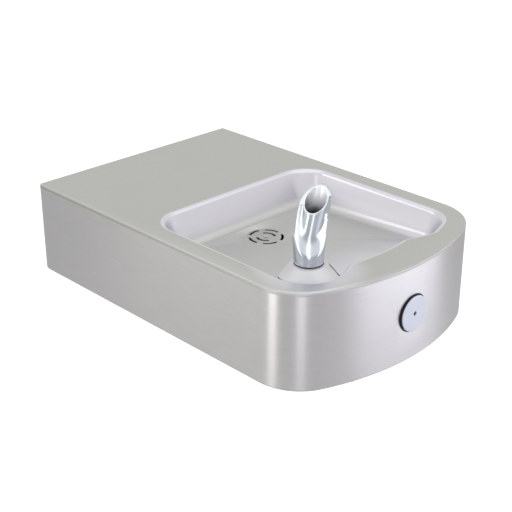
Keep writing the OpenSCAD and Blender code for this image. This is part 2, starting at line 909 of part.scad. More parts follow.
module button_body() {
    color("black")
        difference() {
            along_y(0, plunger_y, 0)
                cylinder(r = button_r, h = plunger_l, $fn = 96);
            difference() {
                along_y(0, plunger_y + plunger_floor, 0)
                    cylinder(r = button_r - plunger_wall, h = plunger_l, $fn = 96);
                along_y(0, plunger_y, 0)
                    cylinder(r = boss_r, h = boss_l, $fn = 48);
            }
            along_y(0, plunger_y - over, 0)
                cylinder(r = regulator_r + regulator_gap, h = boss_l + over - regulator_in, $fn = 48);
        }
}

module regulator_screw() {
    color("gold")
        along_y(0, plunger_y, 0)
            difference() {
                cylinder(r = regulator_r, h = regulator_l, $fn = 48);
                translate([0, 0, -over])
                    cylinder(r = regulator_socket / 2 / cos(30), h = regulator_l / 2 + over, $fn = 6);
            }
}

// The stem starts against the boss and ends in the valve, with room for the travel
stem_y = plunger_y + boss_l;
stem_l = web_back_y + stem_reach - button_travel - end_gap - stem_y;

module valve_stem() {
    color("silver")
        along_y(0, stem_y, 0)
            cylinder(r = stem_r, h = stem_l, $fn = 48);
}

// Return spring: one unbroken wire between the plunger and the packing nut
spring_wire_r = 0.7;
spring_r = 8.6;
spring_turns = 5;
spring_steps = 8;
wire_sides = 6;
spring_y = plunger_y + plunger_floor + spring_wire_r;
spring_l = web_back_y - packing_l - spring_wire_r - spring_y;
spring_rings = spring_turns * spring_steps + 1;
spring_pitch = spring_l / spring_turns;

function spring_point(i, j) =
    let(a = 360 * i / spring_steps, b = 360 * j / wire_sides,
        lean = atan2(spring_pitch, 2 * PI * spring_r),
        out = spring_wire_r * cos(b), up = spring_wire_r * sin(b))
    [(spring_r + out) * cos(a) + up * sin(lean) * sin(a),
        (spring_r + out) * sin(a) - up * sin(lean) * cos(a),
        spring_l * i / (spring_rings - 1) + up * cos(lean)];

spring_gap = norm(spring_point(spring_steps, 0) - spring_point(0, 0)) - 2 * spring_wire_r;
echo(least_spring_gap = spring_gap);

module return_spring() {
    color("gray")
        along_y(0, spring_y, 0)
            polyhedron(
                points = [for (i = [0:spring_rings - 1], j = [0:wire_sides - 1]) spring_point(i, j)],
                faces = concat(
                    [[for (j = [0:wire_sides - 1]) j]],
                    [[for (j = [wire_sides - 1:-1:0]) (spring_rings - 1) * wire_sides + j]],
                    [for (i = [0:spring_rings - 2], j = [0:wire_sides - 1])
                        let(n = (j + 1) % wire_sides, a = i * wire_sides, b = a + wire_sides)
                        each [[a + j, b + j, b + n], [a + j, b + n, a + n]]]
                )
            );
}

// Outlet tube: from the side of the valve to the union under the bubbler
valve_grip = 8;
outlet_start_x = -valve_r - port_l + valve_grip;
outlet_top_z = shank_end_z - end_gap;
nut_af_tube = 19;
tube_nut_l = 14;
tube_nut_over = 6;

module outlet_tube() {
    color("peru")
        union() {
            translate([bubbler_x + tube_bend_r, bubbler_y, 0])
                rotate([0, 90, 0])
                    pipe(tube_r, tube_bore_r, outlet_start_x - bubbler_x - tube_bend_r);
            translate([bubbler_x, bubbler_y, tube_bend_r])
                mirror([0, 0, 1])
                    bend(tube_r, tube_bore_r, tube_bend_r);
            translate([bubbler_x, bubbler_y, tube_bend_r])
                pipe(tube_r, tube_bore_r, outlet_top_z - tube_bend_r);
        }
}

module tube_nut() {
    difference() {
        cylinder(r = nut_af_tube / 2 / cos(30), h = tube_nut_l, $fn = 6);
        translate([0, 0, -over])
            cylinder(r = port_r + nut_gap, h = tube_nut_over + over, $fn = 48);
        cylinder(r = tube_r + tube_gap, h = tube_nut_l + over, $fn = 48);
    }
}

module outlet_nut() {
    color("darkgoldenrod")
        translate([-valve_r - port_l + tube_nut_over, outlet_y, 0])
            rotate([0, -90, 0])
                tube_nut();
}

// Feed, filter and supply tube behind the valve
port_end_y = valve_end_y + port_l;
feed_l = 30;
filter_r = 12;
filter_l = 34;
filter_y = port_end_y - valve_grip + feed_l - valve_grip;

module inlet_nut() {
    color("darkgoldenrod")
        along_y(0, port_end_y - tube_nut_over, 0)
            tube_nut();
}

module valve_feed() {
    color("peru")
        along_y(0, port_end_y - valve_grip, 0)
            pipe(tube_r, tube_bore_r, feed_l);
}

module inline_strainer() {
    color("goldenrod")
        along_y(0, filter_y, 0)
            difference() {
                union() {
                    cylinder(r = filter_r / cos(30), h = filter_l / 2, $fn = 6);
                    cylinder(r = filter_r, h = filter_l, $fn = 64);
                    cylinder(r = port_r, h = filter_l + port_l, $fn = 48);
                }
                translate([0, 0, -over])
                    cylinder(r = tube_r + tube_gap, h = filter_l + port_l + 2 * over, $fn = 48);
            }
}

filter_end_y = filter_y + filter_l + port_l;

module supply_nut() {
    color("darkgoldenrod")
        along_y(0, filter_end_y - tube_nut_over, 0)
            tube_nut();
}

supply_start_y = filter_end_y - valve_grip;
supply_straight = 18;
supply_turn_y = supply_start_y + supply_straight + tube_bend_r;

// A strap folded round the supply tube and spot-welded under the deck
hanger_w = 14;
hanger_t = 1.5;
hanger_back = 166;
hanger_foot = 16;

// A bead rolled in the supply tube keeps it from sliding back through its hanger
bead_gap = 0.5;
bead_l = 3;
bead_rise = 0.9;

module bead() {
    rotate_extrude($fn = 48)
        polygon([
            [tube_bore_r, 0], [tube_r, 0], [tube_r + bead_rise, bead_l / 3],
            [tube_r + bead_rise, bead_l * 2 / 3], [tube_r, bead_l], [tube_bore_r, bead_l]
        ]);
}

module supply_tube() {
    color("peru")
        union() {
            along_y(0, supply_start_y, 0)
                pipe(tube_r, tube_bore_r, supply_straight);
            along_y(0, supply_start_y + supply_straight, 0)
                bend(tube_r, tube_bore_r, tube_bend_r);
            translate([tube_bend_r, supply_turn_y, 0])
                rotate([0, 90, 0])
                    pipe(tube_r, tube_bore_r, supply_x - 2 * tube_bend_r);
            translate([supply_x, supply_turn_y + tube_bend_r, 0])
                rotate([90, 0, 0])
                    mirror([1, 0, 0])
                        bend(tube_r, tube_bore_r, tube_bend_r);
            along_y(supply_x, supply_turn_y + tube_bend_r, 0)
                pipe(tube_r, tube_bore_r, -pipe_end - supply_turn_y - tube_bend_r);
            along_y(supply_x, -hanger_back + hanger_w + bead_gap, 0)
                bead();
        }
}

module tube_hanger() {
    color("darkgray")
        translate([supply_x, -hanger_back, 0])
            difference() {
                union() {
                    along_y(0, 0, 0)
                        cylinder(r = tube_r + tube_gap + hanger_t, h = hanger_w, $fn = 48);
                    translate([tube_r + tube_gap, 0, 0])
                        cube([hanger_t, hanger_w, deck_z - sheet_t]);
                    translate([tube_r + tube_gap, 0, deck_z - sheet_t - hanger_t])
                        cube([hanger_foot, hanger_w, hanger_t]);
                }
                along_y(0, -over, 0)
                    cylinder(r = tube_r + tube_gap, h = hanger_w + 2 * over, $fn = 48);
            }
}

// Drain: a gasket and a shallow cup hang on the centre screw, below the slots
waste_r = waste_od / 2;
disc_under_z = disc_z - sheet_t;
drain_gasket_t = 1.5;
cup_r = 27.5;
cup_wall = 1.6;
cup_flange_t = 2;
cup_cone_h = 7;
gasket_ring_w = 3;
bar_w = 6;
bar_h = 5;
drain_head_r = 3.2;
drain_head_h = 1;
drain_screw_l = 10;

module drain_screw() {
    color("gray")
        translate([0, drain_y, disc_z + drain_head_h])
            mirror([0, 0, 1])
                difference() {
                    union() {
                        cylinder(r = drain_head_r, h = drain_head_h, $fn = 48);
                        cylinder(r = drain_screw_r, h = drain_head_h + drain_screw_l, $fn = 32);
                    }
                    translate([0, 0, -over])
                        cylinder(r = drain_screw_r / 2, h = drain_head_h / 2 + over, $fn = 6);
                }
}

module drain_gasket() {
    color("black")
        translate([0, drain_y, disc_under_z - drain_gasket_t])
            pipe(cup_r, cup_r - gasket_ring_w, drain_gasket_t);
}

// Slip joint between the tail and the waste tube
socket_gap = 0.3;
socket_l = 12;
socket_up = 8;
slip_nut_l = 9;
slip_wall = 2.4;
slip_washer_t = 2;

// The cup narrows from its flange to the tail, which stands clear above the slip nut, and a bar
// across it takes the screw
tail_free = 1.6;
tail_l = socket_up + slip_washer_t + slip_wall + tail_free;
cup_top_z = disc_under_z - drain_gasket_t;
tail_top_z = cup_top_z - cup_flange_t - cup_cone_h;
tail_end_z = tail_top_z - tail_l;

module drain_cup() {
    color("silver")
        translate([0, drain_y, 0])
            difference() {
                union() {
                    difference() {
                        union() {
                            translate([0, 0, cup_top_z - cup_flange_t])
                                cylinder(r = cup_r, h = cup_flange_t, $fn = 96);
                            translate([0, 0, tail_top_z])
                                cylinder(r1 = waste_r, r2 = cup_r, h = cup_cone_h, $fn = 96);
                            translate([0, 0, tail_end_z])
                                cylinder(r = waste_r, h = tail_l, $fn = 96);
                        }
                        translate([0, 0, cup_top_z - cup_flange_t])
                            cylinder(r = cup_r - gasket_ring_w, h = cup_flange_t + over, $fn = 96);
                        translate([0, 0, tail_top_z])
                            cylinder(r1 = waste_r - cup_wall, r2 = cup_r - gasket_ring_w,
                                h = cup_cone_h, $fn = 96);
                        translate([0, 0, tail_end_z - over])
                            cylinder(r = waste_r - cup_wall, h = tail_l + 2 * over, $fn = 96);
                    }
                    intersection() {
                        translate([-cup_r, -bar_w / 2, cup_top_z - bar_h])
                            cube([2 * cup_r, bar_w, bar_h]);
                        translate([0, 0, cup_top_z - bar_h])
                            cylinder(r = waste_r, h = bar_h, $fn = 96);
                    }
                    translate([-cup_r + gasket_ring_w / 2, -bar_w / 2, cup_top_z - cup_flange_t])
                        cube([2 * cup_r - gasket_ring_w, bar_w, cup_flange_t]);
                }
                translate([0, 0, cup_top_z - bar_h - over])
                    cylinder(r = drain_screw_r + nut_gap, h = bar_h + 2 * over, $fn = 32);
            }
}

// Heights of the slip joint and of the waste tube's bend
socket_top_z = tail_end_z + socket_up;
waste_z = deck_z - waste_depth;
bend_top_z = waste_z + waste_bend_r;

module slip_washer() {
    color("white")
        translate([0, drain_y, socket_top_z])
            pipe(waste_r + socket_gap + waste_wall, waste_r + nut_gap, slip_washer_t);
}

module slip_nut() {
    socket_r = waste_r + socket_gap + waste_wall;
    color("silver")
        translate([0, drain_y, socket_top_z + slip_washer_t - slip_nut_l])
            difference() {
                cylinder(r = socket_r + slip_wall, h = slip_nut_l + slip_wall, $fn = 96);
                translate([0, 0, -over])
                    cylinder(r = socket_r + nut_gap, h = slip_nut_l + over, $fn = 96);
                cylinder(r = waste_r + nut_gap, h = slip_nut_l + slip_wall + over, $fn = 96);
            }
}

module waste_tube() {
    inner_r = waste_r - waste_wall;
    color("silver")
        translate([0, drain_y, 0])
            union() {
                translate([0, 0, bend_top_z])
                    pipe(waste_r, inner_r, tail_end_z - end_gap - bend_top_z);
                translate([0, 0, tail_end_z - socket_l + socket_up])
                    difference() {
                        cylinder(r = waste_r + socket_gap + waste_wall, h = socket_l, $fn = 96);
                        translate([0, 0, -over])
                            cylinder(r = waste_r - waste_wall / 2, h = socket_l - socket_up + over, $fn = 96);
                        translate([0, 0, socket_l - socket_up - over])
                            cylinder(r = waste_r + socket_gap, h = socket_up + 2 * over, $fn = 96);
                    }
                translate([0, 0, bend_top_z])
                    rotate([0, 0, 90])
                        mirror([0, 0, 1])
                            bend(waste_r, inner_r, waste_bend_r);
                along_y(0, waste_bend_r, waste_z)
                    pipe(waste_r, inner_r, drain_back - waste_bend_r - pipe_end);
            }
}

basin_deck();
apron_skirt();
back_panel();
mounting_plates();
bottom_cover();
cover_screws();
cover_nuts();
sound_pad();
bubbler_head();
bubbler_nozzle();
bubbler_gasket();
bubbler_shank();
bubbler_washer();
bubbler_locknut();
bubbler_union();
outlet_tube();
outlet_nut();
button_face();
button_body();
button_sleeve();
regulator_screw();
return_spring();
valve_stem();
packing_nut();
stem_seal();
valve_body();
valve_bracket();
bracket_screws();
bracket_nuts();
inlet_nut();
valve_feed();
inline_strainer();
supply_nut();
supply_tube();
tube_hanger();
drain_screw();
drain_gasket();
drain_cup();
slip_nut();
slip_washer();
waste_tube();
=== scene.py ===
# %% [markdown]
# # A wall-hung drinking fountain
# The fountain is folded and pressed from stainless sheet. A bowl is sunk into the deck, a chrome
# bubbler stands on a mound in the front corner, and a push button sits in the rounded front.
# The CAD solids are loaded as a fixed frame in metres: the wall is the plane y = 0, the front
# faces -Y and Z is up. What shows most is modelled again here with soft edges and smooth curves.

# %% Load the frame
import json
import math

import bmesh
import bpy
from mathutils import Matrix, Vector


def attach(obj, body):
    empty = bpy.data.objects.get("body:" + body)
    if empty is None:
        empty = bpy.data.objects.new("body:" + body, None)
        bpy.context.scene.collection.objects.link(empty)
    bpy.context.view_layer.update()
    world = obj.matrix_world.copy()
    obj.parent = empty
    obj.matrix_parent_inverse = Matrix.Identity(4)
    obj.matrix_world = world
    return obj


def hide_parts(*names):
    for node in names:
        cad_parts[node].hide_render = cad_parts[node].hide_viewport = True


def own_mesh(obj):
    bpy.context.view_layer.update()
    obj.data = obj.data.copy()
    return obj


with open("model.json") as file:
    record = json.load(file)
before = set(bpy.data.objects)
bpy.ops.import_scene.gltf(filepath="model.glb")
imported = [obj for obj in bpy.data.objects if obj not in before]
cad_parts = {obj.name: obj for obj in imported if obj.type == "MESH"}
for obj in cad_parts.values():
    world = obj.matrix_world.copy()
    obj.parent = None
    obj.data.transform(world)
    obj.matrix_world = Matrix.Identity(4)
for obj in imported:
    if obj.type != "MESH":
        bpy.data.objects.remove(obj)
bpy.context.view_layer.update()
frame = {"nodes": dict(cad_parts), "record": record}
scene = bpy.context.scene
nodes = frame["nodes"]

# %% [markdown]
# ## Camera
# The photograph was measured first: a camera with a long lens stands to the front left and above.
# A camera looks along its own -Z axis, so the columns of its matrix are right, up and backwards.

# %% Set up the camera
CAMERA_PLACE = Vector((-0.89676, -1.15875, 0.590675))
LOOK = Vector((0.62977, 0.64998, -0.42533)).normalized()
RIGHT = Vector((0.718156, -0.695883, -0.000109)).normalized()
SENSOR_W, LENS = 36.0, 79.78

camera_data = bpy.data.cameras.new("camera")
camera_data.sensor_width = SENSOR_W
camera_data.lens = LENS
camera_data.clip_start = 0.01
camera = bpy.data.objects.new("camera", camera_data)
scene.collection.objects.link(camera)
right = (RIGHT - LOOK * RIGHT.dot(LOOK)).normalized()
up = right.cross(LOOK)
turn = Matrix((right, up, -LOOK)).transposed().to_4x4()
camera.matrix_world = Matrix.Translation(CAMERA_PLACE) @ turn
scene.camera = camera
print("camera looks along", [round(v, 3) for v in LOOK])

# %% [markdown]
# ## Sizes
# The frame can't be asked for a radius or a thickness, so the sizes that shape the visible pieces
# are written down once, in millimetres. Each mesh is made in millimetres and scaled at the end.
# The front is an arc of radius FRONT_R, and a corner arc of radius CORNER_R joins it to each side.
# A grown sheet is thinner than its solid by PLAY, so it stays clear of what lies against it.

# %% Sizes in millimetres
MM = 0.001
BODY_W, BODY_D, BODY_H = 317.5, 482.6, 120.65
FRONT_R, CORNER_R, SHEET = 312.0, 63.5, 1.5
COVER_T, PLAY = 1.2, 0.1
DECK_Z = BODY_H / 2
EDGE_Z = -BODY_H / 2 + COVER_T
ARC_Y = FRONT_R - BODY_D
CORNER_X = BODY_W / 2 - CORNER_R
CORNER_Y = ARC_Y - math.sqrt((FRONT_R - CORNER_R) ** 2 - CORNER_X ** 2)
CORNER_TURN = math.degrees(math.atan2(CORNER_X, ARC_Y - CORNER_Y))
print("front corner turns after", round(CORNER_TURN, 2), "degrees")


# %% [markdown]
# ## Helpers
# A loop of vertices that is extruded and moved again and again makes a skin, the way a potter
# pulls up a wall. `grow` does one such step. `finish_piece` turns the mesh into an object.

# %% Angles in degrees
SHARP = 32


def sin(a):
    return math.sin(math.radians(a))


def cos(a):
    return math.cos(math.radians(a))


def tan(a):
    return math.tan(math.radians(a))


# %% Helpers for growing loops
def start_loop(bm, points):
    """New vertices at the points, joined into a ring."""
    loop = [bm.verts.new(p) for p in points]
    for a, b in zip(loop, loop[1:]):
        bm.edges.new((a, b))
    bm.edges.new((loop[-1], loop[0]))
    return loop


def edges_of(bm, loop):
    """The edges between neighbours of a ring."""
    pairs = list(zip(loop, loop[1:])) + [(loop[-1], loop[0])]
    return [bm.edges.get(p) for p in pairs]


def grow(bm, loop, points):
    """Extrude a ring once and move the new vertices to the points."""
    made = bmesh.ops.extrude_edge_only(bm, edges=edges_of(bm, loop))
    fresh = {g for g in made["geom"] if isinstance(g, bmesh.types.BMVert)}
    new = [next(e.other_vert(v) for e in v.link_edges if e.other_vert(v) in fresh) for v in loop]
    for v, p in zip(new, points):
        v.co = p
    return new


# %% Helper for finishing a piece
def finish_piece(name, bm, material, body, replaced, sharp=SHARP):
    """Scale to metres, shade smooth but for its sharp edges, hang the piece on its body and hide the
    solids it replaces.
    """
    bmesh.ops.scale(bm, vec=(MM, MM, MM), verts=bm.verts)
    for face in bm.faces:
        face.smooth = True
    mesh = bpy.data.meshes.new(name)
    bm.to_mesh(mesh)
    bm.free()
    mesh.set_sharp_from_angle(angle=math.radians(sharp))
    mesh.materials.append(material)
    piece = bpy.data.objects.new(name, mesh)
    scene.collection.objects.link(piece)
    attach(piece, body)
    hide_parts(*replaced)
    spans = [[v.co[k] / MM for v in mesh.vertices] for k in range(3)]
    size = [round(max(span) - min(span), 1) for span in spans]
    print(name, "faces", len(mesh.polygons), "size in mm", size)
    return piece


# %% [markdown]
# ## Brushed steel
# Brushed sheet is a mirror with thousands of fine scratches in one direction. Each scratch tilts
# the surface a little across the grain, so highlights smear that way. Here a noise stretched along
# the grain drives a faint bump, the roughness and a slight change of colour; broad soft noise adds
# the cloudiness that handling leaves. It reads Object coordinates, so it stays put on the sheet.

# %% Helpers for materials
def new_material(name):
    """A material with its node tree and its shader."""
    material = bpy.data.materials.new(name)
    material.use_nodes = True
    tree = material.node_tree
    return material, tree, tree.nodes["Principled BSDF"]


def link_noise(tree, scale, detail, stretch):
    """Noise on Object coordinates, in cycles per metre, stretched by its own scale on each axis."""
    coords = tree.nodes.new("ShaderNodeTexCoord")
    mapping = tree.nodes.new("ShaderNodeMapping")
    mapping.inputs["Scale"].default_value = stretch
    noise = tree.nodes.new("ShaderNodeTexNoise")
    noise.inputs["Scale"].default_value = scale
    noise.inputs["Detail"].default_value = detail
    tree.links.new(coords.outputs["Object"], mapping.inputs["Vector"])
    tree.links.new(mapping.outputs["Vector"], noise.inputs["Vector"])
    return noise.outputs["Fac"]


def remap(tree, value, low, high):
    """Noise stays near its middle, so 0.3 to 0.7 is spread over the whole range asked for."""
    node = tree.nodes.new("ShaderNodeMapRange")
    node.inputs["From Min"].default_value = 0.3
    node.inputs["From Max"].default_value = 0.7
    node.inputs["To Min"].default_value = low
    node.inputs["To Max"].default_value = high
    tree.links.new(value, node.inputs["Value"])
    return node.outputs["Result"]


# A Mix node shows other sockets for each kind of data: its factor, first, second and result.
MIX_SOCKETS = {"RGBA": (0, 6, 7, 2), "FLOAT": (0, 2, 3, 0)}


def vary_colour(tree, shader, noise, first, second):
    """Let the base colour wander between two colours with the noise."""
    node = tree.nodes.new("ShaderNodeMix")
    node.data_type = "RGBA"
    factor, a, b, out = MIX_SOCKETS["RGBA"]
    node.inputs[a].default_value = (*first, 1)
    node.inputs[b].default_value = (*second, 1)
    tree.links.new(remap(tree, noise, 0, 1), node.inputs[factor])
    tree.links.new(node.outputs[out], shader.inputs["Base Color"])


def add_bump(tree, shader, height, strength, distance):
    """A faint relief that only tilts the light, with its depth in metres."""
    bumps = tree.nodes.new("ShaderNodeBump")
    bumps.inputs["Strength"].default_value = strength
    bumps.inputs["Distance"].default_value = distance
    tree.links.new(height, bumps.inputs["Height"])
    tree.links.new(bumps.outputs["Normal"], shader.inputs["Normal"])


# %% Brushed steel
def brushed(name, dark, light, grain, rough, axis="Z", smear=0.75):
    """Brushed metal: grain is the stretch of the scratches on each axis, small along the grain."""
    material, tree, shader = new_material(name)
    scratches = link_noise(tree, 1.0, 3.0, grain)
    clouds = link_noise(tree, 9.0, 2.0, (1, 1, 1))
    shader.inputs["Metallic"].default_value = 1.0
    vary_colour(tree, shader, scratches, dark, light)
    total = tree.nodes.new("ShaderNodeMath")
    total.operation = "ADD"
    tree.links.new(remap(tree, scratches, rough - 0.04, rough + 0.04), total.inputs[0])
    tree.links.new(remap(tree, clouds, -0.02, 0.02), total.inputs[1])
    tree.links.new(total.outputs[0], shader.inputs["Roughness"])
    tangent = tree.nodes.new("ShaderNodeTangent")
    tangent.direction_type = "RADIAL"
    tangent.axis = axis
    tree.links.new(tangent.outputs["Tangent"], shader.inputs["Tangent"])
    shader.inputs["Anisotropic"].default_value = smear
    shader.inputs["Anisotropic Rotation"].default_value = 0.25
    add_bump(tree, shader, scratches, 0.05, 0.0002)
    return material


skirt_steel = brushed("skirt_steel", (0.575, 0.565, 0.57), (0.615, 0.605, 0.61),
                      (30, 30, 1400), 0.36)

# %% [markdown]
# The deck is brushed too, but the wall of the bowl and the mound are buffed and shine more. A number
# stored in the mesh runs from 0 where the sheet is brushed to 1 where it is buffed: it lowers the
# roughness, and it also lays in a lighter, lavender colour that is painted sheen. A second number
# paints near-black shade into the folds where the mound leaves the bowl.

# %% Deck steel
deck_steel = brushed("deck_steel", (0.445, 0.45, 0.42), (0.475, 0.48, 0.45),
                     (1400, 30, 1400), 0.46, axis="X", smear=0.6)


def blend_where(material, stored, changes):
    """Mix other values into the shader's inputs where a number stored in the mesh is 1."""
    tree = material.node_tree
    shader = tree.nodes["Principled BSDF"]
    where = tree.nodes.new("ShaderNodeAttribute")
    where.attribute_name = stored
    for socket, value in changes.items():
        blend = tree.nodes.new("ShaderNodeMix")
        blend.data_type = "RGBA" if socket == "Base Color" else "FLOAT"
        factor, a, b, out = MIX_SOCKETS[blend.data_type]
        tree.links.new(shader.inputs[socket].links[0].from_socket, blend.inputs[a])
        blend.inputs[b].default_value = value
        tree.links.new(where.outputs["Fac"], blend.inputs[factor])
        tree.links.new(blend.outputs[out], shader.inputs[socket])


# Buffing lowers the roughness; the lighter lavender colour that comes with it is painted sheen.
blend_where(deck_steel, "buffed_and_sheen", {"Base Color": (0.62, 0.61, 0.65, 1), "Roughness": 0.29})
# Painted shade: a near-black colour laid into the folds beside the mound, where shade falls.
blend_where(deck_steel, "crease", {"Base Color": (0.13, 0.125, 0.12, 1)})

# %% [markdown]
# ## The deck and its bowl
# The deck is one pressed sheet. It could be carved from a block or sculpted, but a pressing is
# really a stack of outlines: the rim, the rolled edge, the wall, the radius at its foot and the
# floor. So one outline is grown inwards through all of them, and the sheet then gets its
# thickness. The outline keeps its direction at each point, so every step knows which way is in.
# Towards the front the rim has a ledge that falls a little before the wall begins, and the floor
# rises, so the water runs back to the drain.

# %% Outline of the body and the rim
RIM_W, BOWL_BACK, BOWL_CORNER_R = 20.5, 186.0, 42.0
ROLL_R, COVE_R, WALL_SLOPE = 8.0, 14.0, 66
BOWL_DEPTH, FRONT_RISE, BACK_RISE, DRAIN_FALL = 40.5, 12.0, 0.5, 2.5
LEAD_W, LEDGE_W, LEDGE_FALL, LEDGE_END_X, LEDGE_FULL_X = 2.0, 22.0, 2.0, 88.0, 45.0
DRAIN_Y, DISC_R, DISC_Z = -251.0, 25.0, DECK_Z - BOWL_DEPTH - DRAIN_FALL
SIDE_STEPS, BACK_CORNER_STEPS, BACK_STEPS = 36, 20, 24


def front_outline(gap, front_steps, corner_steps):
    """Half of the rounded front, from its middle to where the side begins: x, y, direction."""
    half = []
    for k in range(front_steps + 1):
        a = CORNER_TURN * k / front_steps
        half.append(((FRONT_R - gap) * sin(a), ARC_Y - (FRONT_R - gap) * cos(a), a))
    for k in range(1, corner_steps + 1):
        a = CORNER_TURN + (90 - CORNER_TURN) * k / corner_steps
        half.append((CORNER_X + (CORNER_R - gap) * sin(a), CORNER_Y - (CORNER_R - gap) * cos(a), a))
    return half


def rim_outline():
    """The closed rim of the bowl: x, y and the direction in which each point faces."""
    half = front_outline(RIM_W, 56, 26)
    rim_x = BODY_W / 2 - RIM_W
    back_x, back_y = rim_x - BOWL_CORNER_R, -BOWL_BACK - BOWL_CORNER_R
    for k in range(1, SIDE_STEPS + 1):
        half.append((rim_x, CORNER_Y + (back_y - CORNER_Y) * k / SIDE_STEPS, 90))
    for k in range(1, BACK_CORNER_STEPS + 1):
        a = 90 + 90 * k / BACK_CORNER_STEPS
        half.append((back_x + BOWL_CORNER_R * sin(a), back_y - BOWL_CORNER_R * cos(a), a))
    for k in range(1, BACK_STEPS + 1):
        half.append((back_x * (1 - k / BACK_STEPS), -BOWL_BACK, 180))
    return half + [(-x, y, -a) for x, y, a in half[-2:0:-1]]


rim = rim_outline()
print("rim points", len(rim))


# %% Rules of the rim
def ease(s):
    """From 0 to 1 with a soft start and a soft end."""
    s = min(max(s, 0.0), 1.0)
    return s * s * (3 - 2 * s)


def inside(p, u, z):
    """The point that lies u inwards of the outline's point p, at height z."""
    return Vector((p[0] - u * sin(p[2]), p[1] + u * cos(p[2]), z))


def ledge(p):
    """How much of the ledge a point of the rim has: 1 in the middle of the front, 0 at the back."""
    if abs(p[2]) > 90:
        return 0.0
    return ease((LEDGE_END_X - abs(p[0])) / (LEDGE_END_X - LEDGE_FULL_X))


def lead(p):
    """Width of the level or ledge between the rim and the rolled edge."""
    return LEAD_W + LEDGE_W * ledge(p)


def lip(p):
    """Height at which the rolled edge begins."""
    return DECK_Z - LEDGE_FALL * ledge(p)


def ledge_point(p, s):
    """Across the ledge, from the rim, s = 0, to the rolled edge, s = 1."""
    return inside(p, lead(p) * s, DECK_Z + (lip(p) - DECK_Z) * ease(s))


# %% Rules of the wall and the floor
def foot(p):
    """Height of the floor where it meets the wall."""
    if p[1] < DRAIN_Y:
        return DECK_Z - BOWL_DEPTH + FRONT_RISE * (DRAIN_Y - p[1]) / (DRAIN_Y + BODY_D)
    return DECK_Z - BOWL_DEPTH + BACK_RISE * (p[1] - DRAIN_Y) / (-DRAIN_Y - BOWL_BACK)


def roll(p, a):
    """The rolled edge, turned through a from the level."""
    return inside(p, lead(p) + ROLL_R * sin(a), lip(p) - ROLL_R + ROLL_R * cos(a))


def cove(p, a):
    """The radius at the foot: tangent to the sloping wall at 90 - WALL_SLOPE, to the floor at 90."""
    wall_h = lip(p) - foot(p) - (ROLL_R + COVE_R) * (1 - cos(WALL_SLOPE))
    middle = lead(p) + (ROLL_R + COVE_R) * sin(WALL_SLOPE) + wall_h / tan(WALL_SLOPE)
    return inside(p, middle - COVE_R * cos(a), foot(p) + COVE_R * (1 - sin(a)))


def floor_point(p, s):
    """From the foot of the wall, s = 0, to the flat disc of the drain, s = 1."""
    edge = cove(p, 90)
    out = Vector((edge.x, edge.y - DRAIN_Y, 0)).normalized() * DISC_R
    return edge.lerp(Vector((out.x, DRAIN_Y + out.y, DISC_Z)), s)


# %% Grow the bowl
GUARD = 3.4
DISC_RINGS = (24.5, 23.8)

deck = bmesh.new()
buffed_and_sheen = deck.verts.layers.float.new("buffed_and_sheen")
loop = start_loop(deck, [inside(p, -GUARD, DECK_Z) for p in rim])
guard = loop
loop = grow(deck, loop, [inside(p, 0, DECK_Z) for p in rim])
for s in (0.2, 0.4, 0.6, 0.8, 1.0):
    loop = grow(deck, loop, [ledge_point(p, s) for p in rim])
flat_part = set(deck.verts)
for k in range(1, 11):
    loop = grow(deck, loop, [roll(p, WALL_SLOPE * k / 10) for p in rim])
for s in (0.2, 0.4, 0.6, 0.8):
    loop = grow(deck, loop, [roll(p, WALL_SLOPE).lerp(cove(p, 90 - WALL_SLOPE), s) for p in rim])
for k in range(11):
    loop = grow(deck, loop, [cove(p, 90 - WALL_SLOPE * (1 - k / 10)) for p in rim])
for k in range(1, 17):
    loop = grow(deck, loop, [floor_point(p, k / 16) for p in rim])
for r in DISC_RINGS:
    loop = grow(deck, loop, [floor_point(p, 1) for p in rim])
    for v in loop:
        v.co = Vector((0, DRAIN_Y, DISC_Z)).lerp(v.co, r / DISC_R)
deck.faces.new(loop)
print("bowl faces", len(deck.faces))

# %% [markdown]
# The flat of the deck lies between the bowl and the folded outer edge. The edge is a small round
# that ends in a short drop. A flat face this large shades badly if it shares a vertex with a
# curve, so a guard loop runs beside each curve and only the guards bound the flat.

# %% Flat and outer edge
BACK_R, EDGE_ROUND, EDGE_DROP = 3.8, 2.6, 5.0

front = front_outline(0, 96, 40)
back_x = BODY_W / 2 - BACK_R
back = [(back_x + BACK_R * sin(a), -BACK_R - BACK_R * cos(a), a) for a in range(90, 181, 15)]
half = front + back
outline = [(-x, y, -a) for x, y, a in half[::-1]][:-1] + half

before_edge = set(deck.verts)
outer = start_loop(deck, [inside(p, GUARD, DECK_Z) for p in outline])
loop = grow(deck, outer, [inside(p, EDGE_ROUND, DECK_Z) for p in outline])
for k in range(1, 7):
    gap, drop = EDGE_ROUND * (1 - sin(15 * k)), EDGE_ROUND * (1 - cos(15 * k))
    loop = grow(deck, loop, [inside(p, gap, DECK_Z - drop) for p in outline])
loop = grow(deck, loop, [inside(p, 0, DECK_Z - EDGE_DROP) for p in outline])
rims = edges_of(deck, guard) + edges_of(deck, outer)
flat = bmesh.ops.triangle_fill(deck, edges=rims, use_beauty=True)
print("flat faces", sum(isinstance(g, bmesh.types.BMFace) for g in flat["geom"]))

# %% [markdown]
# Buffing is strongest on the bowl's wall and fades towards its floor, and its painted sheen with it.
# The flat round the bubbler gets painted sheen too. The skin is then turned upwards and given the
# sheet's thickness.

# %% Buff the deck, paint its sheen and give it thickness
BUBBLER_X, BUBBLER_Y = -93.5, -410.7
DULL_DEPTH, DULL_SPAN, DULLING = 28, 10, 0.75
# Painted sheen on the flat round the bubbler, fading out towards its edge.
BUBBLER_SHEEN_R, BUBBLER_SHEEN_SPAN, BUBBLER_SHEEN = 75, 35, 0.8

bowl_part = before_edge - flat_part
